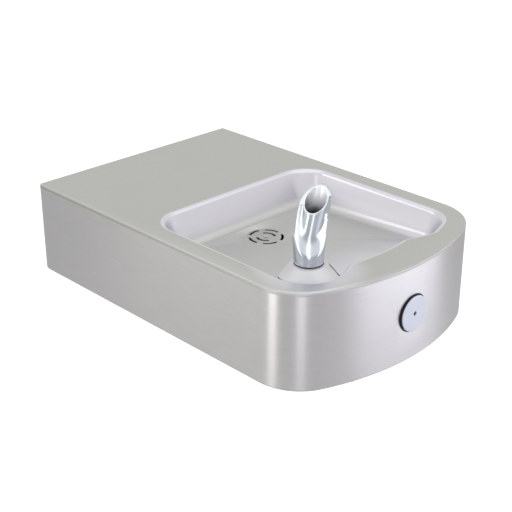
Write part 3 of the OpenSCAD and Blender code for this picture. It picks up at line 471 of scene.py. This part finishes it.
# The bowl's wall gets buffing with painted sheen, less towards the floor; the flat gets painted
# sheen near the bubbler.
for v in deck.verts:
    if v in bowl_part:
        v[buffed_and_sheen] = 1 - DULLING * ease((DECK_Z - v.co.z - DULL_DEPTH) / DULL_SPAN)
    else:
        away = math.hypot(v.co.x - BUBBLER_X, v.co.y - BUBBLER_Y)
        v[buffed_and_sheen] = BUBBLER_SHEEN * ease((BUBBLER_SHEEN_R - away) / BUBBLER_SHEEN_SPAN)

bmesh.ops.recalc_face_normals(deck, faces=deck.faces)
top = max(deck.faces, key=lambda f: f.calc_area())
top.normal_update()
if top.normal.z < 0:
    bmesh.ops.reverse_faces(deck, faces=deck.faces)
bmesh.ops.solidify(deck, geom=deck.faces[:], thickness=SHEET - PLAY)

deck_piece = finish_piece("deck_and_bowl", deck, deck_steel, "fountain",
                          ["basin_deck"])

# %% [markdown]
# ## The strainer
# The strainer is punched straight into the flat disc at the low point: five slots on an outer ring
# and two on an inner one. Each punch is a small rectangle swept along its ring. An exact boolean
# takes all punches out of the sheet at once, which leaves the clean square edges of a press tool.

# %% Helper for cutting
def cut(piece, bm):
    """Take the closed mesh bm out of the piece with an exact boolean and keep the result."""
    bmesh.ops.recalc_face_normals(bm, faces=bm.faces)
    bmesh.ops.scale(bm, vec=(MM, MM, MM), verts=bm.verts)
    mesh = bpy.data.meshes.new("cutter")
    bm.to_mesh(mesh)
    bm.free()
    cutter = bpy.data.objects.new("cutter", mesh)
    scene.collection.objects.link(cutter)
    modifier = piece.modifiers.new("cut", "BOOLEAN")
    modifier.solver = "EXACT"
    modifier.object = cutter
    bpy.context.view_layer.update()
    seen = piece.evaluated_get(bpy.context.evaluated_depsgraph_get())
    done = bpy.data.meshes.new_from_object(seen)
    piece.modifiers.remove(modifier)
    bpy.data.objects.remove(cutter)
    old = piece.data
    piece.data = done
    bpy.data.meshes.remove(old)
    done.set_sharp_from_angle(angle=math.radians(SHARP))


# %% Punch the slots
SLOT_W, PUNCH_HALF_H = 3.4, 3
# Each slot has the radius of its ring, the direction of its middle and its width in degrees.
SLOTS = [(20.5, 24 + 72 * k, 50) for k in range(5)] + [(11.2, 14 + 180 * k, 100) for k in range(2)]

punches = bmesh.new()
for radius, middle, width in SLOTS:
    start = middle - width / 2
    corners = []
    for out, lift in ((-1, -1), (1, -1), (1, 1), (-1, 1)):
        r, z = radius + out * SLOT_W / 2, DISC_Z + lift * PUNCH_HALF_H
        corners.append(punches.verts.new((r * cos(start), DRAIN_Y + r * sin(start), z)))
    cap = punches.faces.new(corners)
    bmesh.ops.spin(punches, geom=[cap], cent=(0, DRAIN_Y, 0), axis=(0, 0, 1),
                   angle=math.radians(width), steps=width // 2,
                   use_merge=False, use_duplicate=False)
cut(deck_piece, punches)
print("slots", len(SLOTS), "deck faces", len(deck_piece.data.polygons))

# %% [markdown]
# ## The mound
# The bubbler stands on a mound that rises from the corner of the deck like a small peninsula. Its
# sides touch the seat's circle, open towards the corner and drop straight into the bowl. It could
# be two surfaces trimmed against each other; rings round the bubbler's axis are simpler, since
# one rule gives how far the mound reaches in each direction and another gives its height.

# %% Rules of the mound
MOUND_R, SEAT_R, MOUND_RISE = 37.0, 19.0, 8.0
SHANK_HOLE_R, MOUND_ROUND = 9.9, 1.6
MOUND_DROP = BOWL_DEPTH - COVE_R / 2
MOUND_TURN, FAN_HALF = 226, 64
FAN_SIDE = FAN_HALF + math.degrees(math.acos(SEAT_R / MOUND_R))


def soft_min(a, b, k):
    """The smaller of two values, rounded off where they come closer than k."""
    h = max(k - abs(a - b), 0) / k
    return min(a, b) - h * h * k / 4


def soft_max(a, b, k):
    return -soft_min(-a, -b, k)


def mound_reach(a):
    """How far the mound reaches in a direction measured from the one towards the corner."""
    if abs(a) <= FAN_HALF:
        return MOUND_R
    if abs(a) < FAN_SIDE:
        return SEAT_R / cos(FAN_SIDE - abs(a))
    return SEAT_R


def flare(r):
    """Height of the mound's top at a distance from the bubbler's axis."""
    share = max(MOUND_R - r, 0) / (MOUND_R - SEAT_R)
    return soft_min(MOUND_RISE * share ** 1.3, MOUND_RISE, 0.8)


def mound_ring(radius_of, height_of):
    """A ring of points; the rules give its radius and its height in each direction."""
    ring = []
    for a in range(-180, 180, 2):
        r = radius_of(a)
        ring.append(Vector((r * cos(a + MOUND_TURN), r * sin(a + MOUND_TURN), height_of(r, a))))
    return ring


# %% Grow the mound
SEAT_RINGS, MOUND_STEPS = (13.0, 15.5, 16.6), 12
flat_r = SEAT_RINGS[-1]

mound = bmesh.new()
mound_buffed_and_sheen = mound.verts.layers.float.new("buffed_and_sheen")
creases = mound.verts.layers.float.new("crease")
loop = start_loop(mound, mound_ring(lambda a: SHANK_HOLE_R, lambda r, a: MOUND_RISE))
for r0 in SEAT_RINGS:
    loop = grow(mound, loop, mound_ring(lambda a: r0, lambda r, a: flare(r)))
for k in range(1, MOUND_STEPS + 1):
    loop = grow(mound, loop, mound_ring(
        lambda a: flat_r + (mound_reach(a) - MOUND_ROUND - flat_r) * k / MOUND_STEPS,
        lambda r, a: flare(r)))
for b in (22.5, 45, 67.5, 90):
    drop = MOUND_ROUND * (1 - cos(b))
    loop = grow(mound, loop, mound_ring(
        lambda a: mound_reach(a) - MOUND_ROUND * (1 - sin(b)),
        lambda r, a: flare(mound_reach(a) - MOUND_ROUND) - drop))
for depth in (4.0, MOUND_DROP):
    loop = grow(mound, loop, mound_ring(mound_reach, lambda r, a: -depth))
bmesh.ops.recalc_face_normals(mound, faces=mound.faces)
mound.faces.ensure_lookup_table()
if mound.faces[0].normal.z < 0:
    bmesh.ops.reverse_faces(mound, faces=mound.faces)
bmesh.ops.solidify(mound, geom=mound.faces[:], thickness=SHEET - PLAY)
print("mound faces", len(mound.faces))

# %% [markdown]
# The folds on both sides of the mound get painted shade, almost black lines. On the near side the
# painted shade begins below the edge. Of the far side the camera sees only the edge, so there the
# painted shade reaches a little way onto the top.

# %% Buff the mound, with painted sheen, and paint shade into its creases
MOUND_BUFFED_AND_SHEEN, CREASE_MARGIN, FAR_SHADE_W = 0.6, 3, 4.5

for v in mound.verts:
    r = math.hypot(v.co.x, v.co.y)
    a = (math.degrees(math.atan2(v.co.y, v.co.x)) - MOUND_TURN + 180) % 360 - 180
    # The whole mound gets part of the buffing and of its painted sheen.
    v[mound_buffed_and_sheen] = MOUND_BUFFED_AND_SHEEN
    # Painted shade: darkens the steep sides of the folds and, on the far side, a strip of the top.
    if r > SEAT_R + CREASE_MARGIN and abs(a) > FAN_HALF - CREASE_MARGIN:
        v[creases] = ease((flare(r) - v.co.z - 0.5) / 1.5)
        if a > 0:
            v[creases] = max(v[creases], ease((r - mound_reach(a) + FAR_SHADE_W) / 2))
bmesh.ops.translate(mound, vec=(BUBBLER_X, BUBBLER_Y, DECK_Z), verts=mound.verts)
bmesh.ops.scale(mound, vec=(MM, MM, MM), verts=mound.verts)
for face in mound.faces:
    face.smooth = True

# %% Join mound and deck
mound_mesh = bpy.data.meshes.new("mound")
mound.to_mesh(mound_mesh)
mound.free()
both = bmesh.new()
both.from_mesh(deck_piece.data)
both.from_mesh(mound_mesh)
both.to_mesh(deck_piece.data)
both.free()
bpy.data.meshes.remove(mound_mesh)
print("deck and mound faces", len(deck_piece.data.polygons))
deck_piece.data.set_sharp_from_angle(angle=math.radians(SHARP))

# %% [markdown]
# ## The skirt
# One strip of sheet runs round the sides and the front and is folded in at the bottom as a flange.
# It is a section swept along the body's outline, so its section is grown from point to point.
# The hole for the button and the rounded back heels are cut afterwards with booleans.

# %% Sweep the skirt
FLANGE_W, FOLD_R, HEEL_R = 16.0, 2.2, 10.0
TOP_Z = DECK_Z - EDGE_DROP

section = [(FLANGE_W, EDGE_Z)]
section += [(FOLD_R * (1 - sin(a)), EDGE_Z + FOLD_R * (1 - cos(a))) for a in range(0, 91, 15)]
section += [(0, TOP_Z), (SHEET, TOP_Z)]
section += [(SHEET, EDGE_Z + SHEET + 1), (SHEET + 1, EDGE_Z + SHEET), (FLANGE_W, EDGE_Z + SHEET)]


def skirt_ring(p):
    """The section at one point of the outline; the flange stops short of the back corners."""
    reach = BACK_R - 1 if p[1] > -BACK_R + 0.01 else FLANGE_W
    return [inside(p, min(g, reach), z) for g, z in section]


skirt = bmesh.new()
first = start_loop(skirt, skirt_ring(outline[0]))
loop = first
for p in outline[1:]:
    loop = grow(skirt, loop, skirt_ring(p))
skirt.faces.new(first)
skirt.faces.new(loop)
bmesh.ops.recalc_face_normals(skirt, faces=skirt.faces)
skirt_piece = finish_piece("skirt", skirt, skirt_steel, "fountain",
                           ["apron_skirt"])

# %% Cut the button hole and the heels
HOLE_R, HOLE_L, PAST = 22.95, 60, 5
hole = bmesh.new()
bmesh.ops.create_cone(hole, cap_ends=True, segments=128, radius1=HOLE_R, radius2=HOLE_R,
                      depth=HOLE_L)
bmesh.ops.rotate(hole, cent=(0, 0, 0), matrix=Matrix.Rotation(math.pi / 2, 3, "X"),
                 verts=hole.verts)
bmesh.ops.translate(hole, vec=(0, -BODY_D, 0), verts=hole.verts)
cut(skirt_piece, hole)

heel = bmesh.new()
corner = [(1.0, EDGE_Z - 1), (1.0, EDGE_Z + HEEL_R)]
for a in range(90, -1, -6):
    corner.append((-HEEL_R + HEEL_R * sin(a), EDGE_Z + HEEL_R - HEEL_R * cos(a)))
corner.append((-HEEL_R, EDGE_Z - 1))
first = start_loop(heel, [Vector((-BODY_W / 2 - PAST, y, z)) for y, z in corner])
last = grow(heel, first, [Vector((BODY_W / 2 + PAST, y, z)) for y, z in corner])
heel.faces.new(first)
heel.faces.new(last)
cut(skirt_piece, heel)
print("skirt faces after cutting", len(skirt_piece.data.polygons))

# %% [markdown]
# ## Chrome
# Chrome plate shows almost only its surroundings. Its colour is a faint blue, its roughness is
# low, and a very weak ripple keeps reflections from looking computed. The bore of the bubbler isn't
# polished: a number stored in the mesh makes it dull, and also paints it pale, a painted reflection
# of the bright wall inside the mouth. A second number paints shade into the bore, dark towards the
# bottom.

# %% Chrome material
def polished(name, colour, rough, ripple, second):
    """Polished metal whose colour and roughness wander a little with the wear."""
    material, tree, shader = new_material(name)
    shader.inputs["Metallic"].default_value = 1.0
    wear = link_noise(tree, 40.0, 3.0, (1, 1, 1))
    vary_colour(tree, shader, wear, colour, second)
    tree.links.new(remap(tree, wear, rough * 0.8, rough * 1.25), shader.inputs["Roughness"])
    add_bump(tree, shader, link_noise(tree, 60.0, 1.0, (1, 1, 1)), ripple, 0.001)
    return material


chrome = polished("chrome_plate", (0.60, 0.64, 0.69), 0.22, 0.02, (0.64, 0.68, 0.73))
# Dull as cast, and pale as a painted reflection.
blend_where(chrome, "as_cast_and_sheen", {"Base Color": (0.94, 0.95, 0.97, 1), "Roughness": 0.42})
# Painted shade deep in the bore.
blend_where(chrome, "bore_shade", {"Base Color": (0.05, 0.05, 0.055, 1)})

# %% [markdown]
# ## The bubbler head
# The head is a cast and polished spout: an upright barrel, a hood that leans over the bowl, a
# steep, faintly rounded face cut into the front, and a slanting mouth. Booleans would leave hard
# edges that polishing never does. Instead a ring is grown up the head, and at each height every
# vertex asks how far the nearest of these surfaces is; a smooth minimum rounds the edges where two
# meet.

# %% Sizes of the head
HEAD_R, HEAD_WIDE_R, HEAD_H = 16.3, 18.2, 84.0
BARREL_H = HEAD_H * 0.4
HOOD_L = HEAD_H - BARREL_H
LEAN, LEAN_TURN = 9.6, -44.0
MOUTH_TILT, MOUTH_TURN, MOUTH_Z = 42.7, 209.0, HEAD_H * 0.833
MOUTH_R, MOUTH_WALL = 11.3, 1.3
FACE_TILT, FACE_TURN, FACE_R = 15.0, 231.0, 26.0
FACE_Z, FACE_IN = HEAD_H * 0.24, HEAD_R * 0.91
BARREL_EDGE, HOOD_EDGE, FACE_EDGE = 1.2, 0.6, 0.8
NECK_EDGE, MOUTH_EDGE, CRISP_FROM, CRISP_SPAN = 2.0, 0.5, 55, 15
BORE_Z = BARREL_H + HOOD_L * 0.2
GASKET_T = 0.8
HEAD_Z = DECK_Z + MOUND_RISE + GASKET_T
MOUTH_NORMAL = Vector((sin(MOUTH_TILT) * cos(MOUTH_TURN), sin(MOUTH_TILT) * sin(MOUTH_TURN),
                       cos(MOUTH_TILT)))


# %% Shape of the head
def centre(z):
    """The middle of the head at a height: upright in the barrel, then leaning."""
    run = tan(LEAN) * max(z - BARREL_H, 0)
    return Vector((run * cos(LEAN_TURN), run * sin(LEAN_TURN), z))


def hood_radius(z):
    """Widest a little above the barrel, then drawn in faster and faster towards the tip."""
    t = (z - BARREL_H) / HOOD_L
    if t < 0:
        return HEAD_WIDE_R * (0.96 + 0.68 * t)
    return HEAD_WIDE_R * max(0.96 + 0.05 * t ** 2 - 0.39 * t ** 4, 0.3)


def reach_circle(offset, d, radius):
    """How far along direction d the middle of a circle lies, and the square of half the chord."""
    along = offset.dot(d)
    rest = radius ** 2 - (offset.length_squared - along ** 2)
    return along, rest


def outer_radius(z, turn):
    """How far the skin lies from the middle of the head in the direction turn."""
    middle = centre(z)
    middle.z = 0
    d = Vector((cos(turn), sin(turn), 0))

    lean = tan(LEAN) * (z - BARREL_H)
    hood = Vector((lean * cos(LEAN_TURN), lean * sin(LEAN_TURN), 0)) - middle
    along, rest = reach_circle(hood, d, hood_radius(z))
    skin = along + math.sqrt(max(rest, 1.0))

    if z < BARREL_H:
        barrel = HEAD_R + (HEAD_WIDE_R - HEAD_R) * z / BARREL_H
        edge = BARREL_H - z
        if edge < BARREL_EDGE:
            barrel -= BARREL_EDGE - math.sqrt(max(BARREL_EDGE ** 2 - (BARREL_EDGE - edge) ** 2, 0))
        skin = soft_max(skin, barrel, HOOD_EDGE)

    face = Vector((cos(FACE_TURN), sin(FACE_TURN), 0))
    front = FACE_IN - (z - FACE_Z) * tan(FACE_TILT)
    along, rest = reach_circle(face * (front - FACE_R) - middle, d, FACE_R)
    if face.dot(d) > 0 and rest > 0:
        skin = soft_min(skin, max(along + math.sqrt(rest), 1.0), FACE_EDGE)

    if z > BARREL_H * 0.5:
        edge = NECK_EDGE + (MOUTH_EDGE - NECK_EDGE) * ease((z - CRISP_FROM) / CRISP_SPAN)
        skin = soft_max(skin, MOUTH_R + MOUTH_WALL, edge)
    return skin


# %% Cut the mouth
def rim_height(turn, radius):
    """Height at which the slanting mouth cuts a generator; radius is a number or a rule."""
    low, high = BARREL_H * 0.8, HEAD_H * 1.3
    for _ in range(40):
        z = (low + high) / 2
        r = radius(z, turn) if callable(radius) else radius
        p = centre(z) + Vector((r * cos(turn), r * sin(turn), 0))
        if (p - Vector((0, 0, MOUTH_Z))).dot(MOUTH_NORMAL) > 0:
            high = z
        else:
            low = z
    return low


def head_point(z, turn, radius):
    """The point at a height, in a direction from the middle of the head, so far from it."""
    p = centre(z)
    return Vector((p.x + radius * cos(turn), p.y + radius * sin(turn), z))


TURNS = [2.5 * k for k in range(144)]
top_z = {t: rim_height(t, outer_radius) for t in TURNS}
bore_z = {t: rim_height(t, MOUTH_R) for t in TURNS}
print("mouth from", round(min(top_z.values()), 1), "to", round(max(top_z.values()), 1), "mm")

# %% [markdown]
# The rings lie closer together where the skin bends sharply: at the foot of the face and at the
# shoulder where the hood starts. Above the shoulder each generator is divided evenly up to its own
# height at the mouth, so the last ring is the slanting rim itself.

# %% Grow the skin of the head
FOOT_BORE_R, FOOT_Z = 9.55, 0.7
LEVELS = [3.0, 6.0] + [8.0 + 0.8 * k for k in range(16)] + [22, 24.5, 27, 29.5, 31.4]
LEVELS += [32.2, 32.5, 32.8, 33.1, 33.3, 33.5, 33.58]
HOOD_START, HOOD_STEPS, RIM_ROUND = 33.7, 34, 0.35

head = bmesh.new()
cast_and_sheen = head.verts.layers.float.new("as_cast_and_sheen")
bore_shade = head.verts.layers.float.new("bore_shade")
loop = start_loop(head, [head_point(0, t, FOOT_BORE_R) for t in TURNS])
for inset, z in ((0.4, 0.0), (0.12, 0.12), (0.0, 0.4)):
    loop = grow(head, loop, [head_point(z, t, outer_radius(FOOT_Z, t) - inset) for t in TURNS])
for z in LEVELS:
    loop = grow(head, loop, [head_point(z, t, outer_radius(z, t)) for t in TURNS])
for k in range(HOOD_STEPS + 1):
    points = []
    for t in TURNS:
        z = HOOD_START + (top_z[t] - RIM_ROUND - HOOD_START) * k / HOOD_STEPS
        points.append(head_point(z, t, outer_radius(z, t)))
    loop = grow(head, loop, points)
print("rings up to the mouth", len(head.verts) // len(TURNS))


# %% Grow the mouth and the bore
BORE_TOP, BORE_ROUND, NOZZLE_HOLE_R, NOZZLE_HOLE_L = 1.5, 3, 3.55, 6
# Where the painted shade in the bore begins and how far it spreads.
SHADE_FROM, SHADE_SPAN = 14, 7


def land_point(t, s):
    """Across the rim of the mouth, from the outside, s = 0, to the bore, s = 1."""
    a = head_point(top_z[t], t, outer_radius(top_z[t], t))
    b = head_point(bore_z[t], t, MOUTH_R)
    return a.lerp(b, s)


def bore_floor(turn, radius):
    """Height of the bottom of the bore, which is square to the leaning axis."""
    return BORE_Z - radius * cos(turn - LEAN_TURN) * tan(LEAN)


def bore_point(t, s):
    """Down the wall of the bore, from just inside the mouth, s = 0, to its rounded bottom."""
    start = bore_z[t] - BORE_TOP
    return head_point(start + (bore_floor(t, MOUTH_R) + BORE_ROUND - start) * s, t, MOUTH_R)


for s in (0.2, 0.8):
    loop = grow(head, loop, [land_point(t, s) for t in TURNS])
polished_skin = set(head.verts)
for down in (RIM_ROUND, BORE_TOP):
    loop = grow(head, loop, [head_point(bore_z[t] - down, t, MOUTH_R) for t in TURNS])
for s in (0.1, 0.2, 0.3, 0.4, 0.5, 0.6, 0.7, 0.85):
    loop = grow(head, loop, [bore_point(t, s) for t in TURNS])
for a in (0, 22.5, 45, 67.5, 90):
    r, up = MOUTH_R - BORE_ROUND * (1 - cos(a)), BORE_ROUND * (1 - sin(a))
    loop = grow(head, loop, [head_point(bore_floor(t, r) + up, t, r) for t in TURNS])
for r, down in ((6.0, 0), (NOZZLE_HOLE_R, 0), (NOZZLE_HOLE_R, NOZZLE_HOLE_L)):
    loop = grow(head, loop, [head_point(bore_floor(t, r) - down, t, r) for t in TURNS])
# The bore is dull and painted pale as a reflection; deeper down painted shade darkens it.
for v in head.verts:
    if v not in polished_skin:
        v[cast_and_sheen] = 1.0
        below_mouth = (Vector((0, 0, MOUTH_Z)) - v.co).dot(MOUTH_NORMAL)
        v[bore_shade] = ease((below_mouth - SHADE_FROM) / SHADE_SPAN)
bmesh.ops.recalc_face_normals(head, faces=head.faces)
bmesh.ops.translate(head, vec=(BUBBLER_X, BUBBLER_Y, HEAD_Z), verts=head.verts)
finish_piece("bubbler_spout", head, chrome, "fountain", ["bubbler_head"], 70)

# %% [markdown]
# ## The push button
# The button is a pale satin disc on a black plunger, with a small key hole in its middle. Its
# profile is spun round the button's own axis, and the rim has the tiny chamfer that catches light.

# %% Satin and plastic
def satin(name, colour, rough, metallic, second, scale=700.0):
    """A fine even grain, for blasted metal, plastic and rubber."""
    material, tree, shader = new_material(name)
    shader.inputs["Metallic"].default_value = metallic
    grain = link_noise(tree, scale, 2.0, (1, 1, 1))
    vary_colour(tree, shader, grain, colour, second)
    tree.links.new(remap(tree, grain, rough - 0.04, rough + 0.04), shader.inputs["Roughness"])
    add_bump(tree, shader, grain, 0.05, 0.0002)
    return material


button_satin = satin("button_satin", (0.64, 0.67, 0.76), 0.42, 0.25, (0.67, 0.70, 0.79))
black_plastic = satin("black_plastic", (0.012, 0.012, 0.013), 0.45, 0.0, (0.02, 0.02, 0.021), 900)

# %% Spin the button's face
BUTTON_R, FACE_T, KEY_R, BUTTON_OUT = 21.25, 1.2, 2.5, 3.4
face_profile = [
    (KEY_R, FACE_T), (KEY_R, 0.35), (KEY_R + 0.35, 0.0), (KEY_R + 1.2, 0.0),
    (BUTTON_R - 1.6, 0.0), (BUTTON_R - 0.5, 0.0), (BUTTON_R - 0.15, 0.15), (BUTTON_R, 0.5),
    (BUTTON_R, FACE_T),
]
face = bmesh.new()
start_loop(face, [Vector((r, y, 0)) for r, y in face_profile])
bmesh.ops.spin(face, geom=face.verts[:] + face.edges[:], cent=(0, 0, 0), axis=(0, 1, 0),
               angle=2 * math.pi, steps=128, use_merge=True, use_duplicate=False)
bmesh.ops.remove_doubles(face, verts=face.verts, dist=0.001)
bmesh.ops.recalc_face_normals(face, faces=face.faces)
bmesh.ops.translate(face, vec=(0, -BODY_D - BUTTON_OUT, 0), verts=face.verts)
finish_piece("button_disc", face, button_satin, "button", ["button_face"], 25)

# %% [markdown]
# ## The hidden works
# Tubes, nuts, valve and brackets keep their CAD solids. Each gets the finish of its metal: turned
# brass, drawn copper, zinc plate, bright fasteners or rubber. The solids are loose triangles, so a
# small group of geometry nodes welds them and shades them smooth up to their sharp edges. Three of
# the solids stand right behind an opening, where only darkness shows; instead of their metal they
# get a near-black finish that is painted shade.

# %% Finishes of the works
brass = polished("turned_brass", (0.56, 0.40, 0.16), 0.28, 0.05, (0.64, 0.47, 0.20))
copper = polished("drawn_copper", (0.60, 0.30, 0.18), 0.26, 0.05, (0.70, 0.38, 0.24))
zinc = brushed("zinc_plate", (0.40, 0.41, 0.43), (0.50, 0.51, 0.53), (300, 300, 300), 0.42)
bright = polished("bright_steel", (0.55, 0.55, 0.56), 0.22, 0.03, (0.60, 0.60, 0.61))
waste_chrome = polished("waste_chrome", (0.66, 0.67, 0.69), 0.14, 0.03, (0.70, 0.71, 0.73))
cover_steel = brushed("cover_steel", (0.50, 0.50, 0.50), (0.56, 0.56, 0.56), (30, 1400, 1400), 0.4)
rubber = satin("black_rubber", (0.02, 0.02, 0.02), 0.75, 0.0, (0.035, 0.035, 0.034), 500)
white_plastic = satin("white_plastic", (0.72, 0.72, 0.69), 0.45, 0.0, (0.76, 0.76, 0.73), 500)
# Painted shade: a near-black finish for solids that stand where only shade shows.
painted_shade_finish = satin("painted_shade_finish", (0.05, 0.05, 0.055), 0.5, 0.7, (0.07, 0.07, 0.075))
SLOT_FINISH = {
    "satin_steel": deck_steel, "skirt_steel": cover_steel, "chrome": chrome,
    "button_satin": button_satin, "black_plastic": black_plastic, "zinc_steel": zinc,
    "fastener_steel": bright, "brass": brass, "copper": copper, "rubber": rubber,
    "waste_chrome": waste_chrome, "white_plastic": white_plastic,
}
# Solids that get painted shade instead of their metal.
SHADE_PAINTED_NODES = ("bubbler_nozzle", "drain_cup", "regulator_screw")
print("finishes", len(SLOT_FINISH), "and one for", len(SHADE_PAINTED_NODES), "dark nodes")


# %% Smooth shading as a modifier
WELD, SMOOTH_BELOW = 0.000005, 30


def smooth_group():
    """Weld the triangles, then shade smooth every edge that bends less than SMOOTH_BELOW."""
    group = bpy.data.node_groups.new("weld_and_smooth", "GeometryNodeTree")
    group.interface.new_socket("Geometry", in_out="INPUT", socket_type="NodeSocketGeometry")
    group.interface.new_socket("Geometry", in_out="OUTPUT", socket_type="NodeSocketGeometry")
    start, end = group.nodes.new("NodeGroupInput"), group.nodes.new("NodeGroupOutput")
    weld = group.nodes.new("GeometryNodeMergeByDistance")
    weld.inputs["Distance"].default_value = WELD
    angle = group.nodes.new("GeometryNodeInputMeshEdgeAngle")
    flat = group.nodes.new("FunctionNodeCompare")
    flat.operation = "LESS_THAN"
    flat.inputs[1].default_value = math.radians(SMOOTH_BELOW)
    edges = group.nodes.new("GeometryNodeSetShadeSmooth")
    edges.domain = "EDGE"
    faces = group.nodes.new("GeometryNodeSetShadeSmooth")
    faces.domain = "FACE"
    group.links.new(start.outputs[0], weld.inputs["Geometry"])
    group.links.new(weld.outputs["Geometry"], edges.inputs["Geometry"])
    group.links.new(angle.outputs["Unsigned Angle"], flat.inputs[0])
    group.links.new(flat.outputs["Result"], edges.inputs["Shade Smooth"])
    group.links.new(edges.outputs["Geometry"], faces.inputs["Geometry"])
    group.links.new(faces.outputs["Geometry"], end.inputs[0])
    return group


weld_and_smooth = smooth_group()
slot_of = {s["node"]: s["material_slot"] for s in frame["record"]["subparts"]}
for name, solid in nodes.items():
    finish = painted_shade_finish if name in SHADE_PAINTED_NODES else SLOT_FINISH[slot_of[name]]
    solid.data.materials.clear()
    solid.data.materials.append(finish)
    modifier = solid.modifiers.new("weld_and_smooth", "NODES")
    modifier.node_group = weld_and_smooth
print("finished", len(nodes), "solids")

# %% [markdown]
# ## The spring
# A spring that pushes the button out has to get shorter when the button goes in. It is wound here
# again as one wire, a ring grown along a helix.

# %% Wind the spring
COIL_R, WIRE_R, COIL_FRONT, COIL_BACK = 8.6, 0.7, -480.0, -459.8
COIL_STEP, COIL_STEPS = 15, 120


def coil_ring(step):
    """The ring of the wire after so many steps of COIL_STEP degrees along the helix."""
    a = COIL_STEP * step
    out = Vector((cos(a), 0, sin(a)))
    middle = out * COIL_R
    middle.y = COIL_FRONT + (COIL_BACK - COIL_FRONT) * step / COIL_STEPS
    return [middle + (out * cos(b) + Vector((0, sin(b), 0))) * WIRE_R for b in range(0, 360, 36)]


coil = bmesh.new()
first = start_loop(coil, coil_ring(0))
loop = first
for step in range(1, COIL_STEPS + 1):
    loop = grow(coil, loop, coil_ring(step))
coil.faces.new(first)
coil.faces.new(loop)
bmesh.ops.recalc_face_normals(coil, faces=coil.faces)
coil_piece = finish_piece("wound_spring", coil, bright, "fountain",
                          ["return_spring"], 60)
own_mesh(coil_piece)

# %% [markdown]
# ## Floor, backdrop and light
# The fountain hangs above a pale floor against white. White for the eye of the camera comes from
# the world's colour, chosen by Light Path, and costs the object no extra light. Large soft lamps
# on both sides and above draw the long highlights that show how the steel bends. The floor adds a
# little light of its own, for the camera only, so that it ends in the same white as the world.

# %% World
AMBIENT, BACKDROP = 0.6, 1.0


def seen_directly(tree):
    """1 for camera, glossy and transmission rays, 0 for the light that falls on things."""
    path = tree.nodes.new("ShaderNodeLightPath")
    value = path.outputs["Is Camera Ray"]
    for name in ("Is Glossy Ray", "Is Transmission Ray"):
        more = tree.nodes.new("ShaderNodeMath")
        more.operation = "MAXIMUM"
        tree.links.new(value, more.inputs[0])
        tree.links.new(path.outputs[name], more.inputs[1])
        value = more.outputs[0]
    return value


world = bpy.data.worlds.new("studio")
scene.world = world
world.use_nodes = True
tree = world.node_tree
ambient = tree.nodes["Background"]
ambient.inputs["Color"].default_value = (1, 1, 1, 1)
ambient.inputs["Strength"].default_value = AMBIENT
white = tree.nodes.new("ShaderNodeBackground")
white.inputs["Color"].default_value = (1, 1, 1, 1)
white.inputs["Strength"].default_value = BACKDROP
mix = tree.nodes.new("ShaderNodeMixShader")
tree.links.new(seen_directly(tree), mix.inputs[0])
tree.links.new(ambient.outputs[0], mix.inputs[1])
tree.links.new(white.outputs[0], mix.inputs[2])
tree.links.new(mix.outputs[0], tree.nodes["World Output"].inputs["Surface"])
print("world", world.name, "ambient", AMBIENT, "backdrop", BACKDROP)

# %% Floor
FLOOR_Z, FLOOR_HALF, FLOOR_LIFT = -0.81, 8, 0.6

ground = bmesh.new()
bmesh.ops.create_grid(ground, x_segments=1, y_segments=1, size=FLOOR_HALF)
bmesh.ops.translate(ground, vec=(0, 0, FLOOR_Z), verts=ground.verts)
floor_mesh = bpy.data.meshes.new("floor")
ground.to_mesh(floor_mesh)
ground.free()
floor = bpy.data.objects.new("floor", floor_mesh)
scene.collection.objects.link(floor)

floor_paint, tree, shader = new_material("floor_paint")
shader.inputs["Base Color"].default_value = (0.82, 0.82, 0.82, 1)
shader.inputs["Roughness"].default_value = 0.9
shader.inputs["Specular IOR Level"].default_value = 0.0
shader.inputs["Emission Color"].default_value = (1, 1, 1, 1)
path = tree.nodes.new("ShaderNodeLightPath")
lift = tree.nodes.new("ShaderNodeMath")
lift.operation = "MULTIPLY"
lift.inputs[1].default_value = FLOOR_LIFT
tree.links.new(path.outputs["Is Camera Ray"], lift.inputs[0])
tree.links.new(lift.outputs[0], shader.inputs["Emission Strength"])
floor_mesh.materials.append(floor_paint)
print("floor at", FLOOR_Z, "m")


# %% Lamps
def lamp(name, place, target, width, height, power, colour=(1, 1, 1)):
    """A soft rectangular lamp that faces a target; metres and watts."""
    data = bpy.data.lights.new(name, "AREA")
    data.shape = "RECTANGLE"
    data.size, data.size_y = width, height
    data.energy = power
    data.color = colour
    light = bpy.data.objects.new(name, data)
    scene.collection.objects.link(light)
    light.location = place
    aim = Vector(target) - Vector(place)
    light.rotation_euler = aim.to_track_quat("-Z", "Y").to_euler()
    print("lamp", name, power, "W")


lamp("top_soft", (0.1, -0.5, 2.3), (0, -0.25, 0), 3.4, 3.4, 15)
lamp("side_soft", (-1.2, 0.55, -0.1), (0, -0.3, 0), 0.9, 1.2, 1.2, (1.0, 0.99, 0.88))
lamp("left_strip", (-1.5, -0.2, -0.1), (0, -0.4, 0), 0.4, 1.4, 3.0, (1.0, 0.98, 0.93))
lamp("near_strip", (-1.35, -1.75, -0.2), (0, -0.4, 0), 0.5, 1.2, 2.8, (0.95, 0.95, 1.0))
lamp("back_small", (-0.9, 0.95, 1.25), (0, -0.3, 0), 0.6, 0.6, 1.5)
lamp("front_soft", (1.1, -1.8, -0.25), (0.05, -0.45, 0), 1.7, 1.0, 9, (0.90, 0.89, 1.0))

scene.view_settings.view_transform = "Standard"
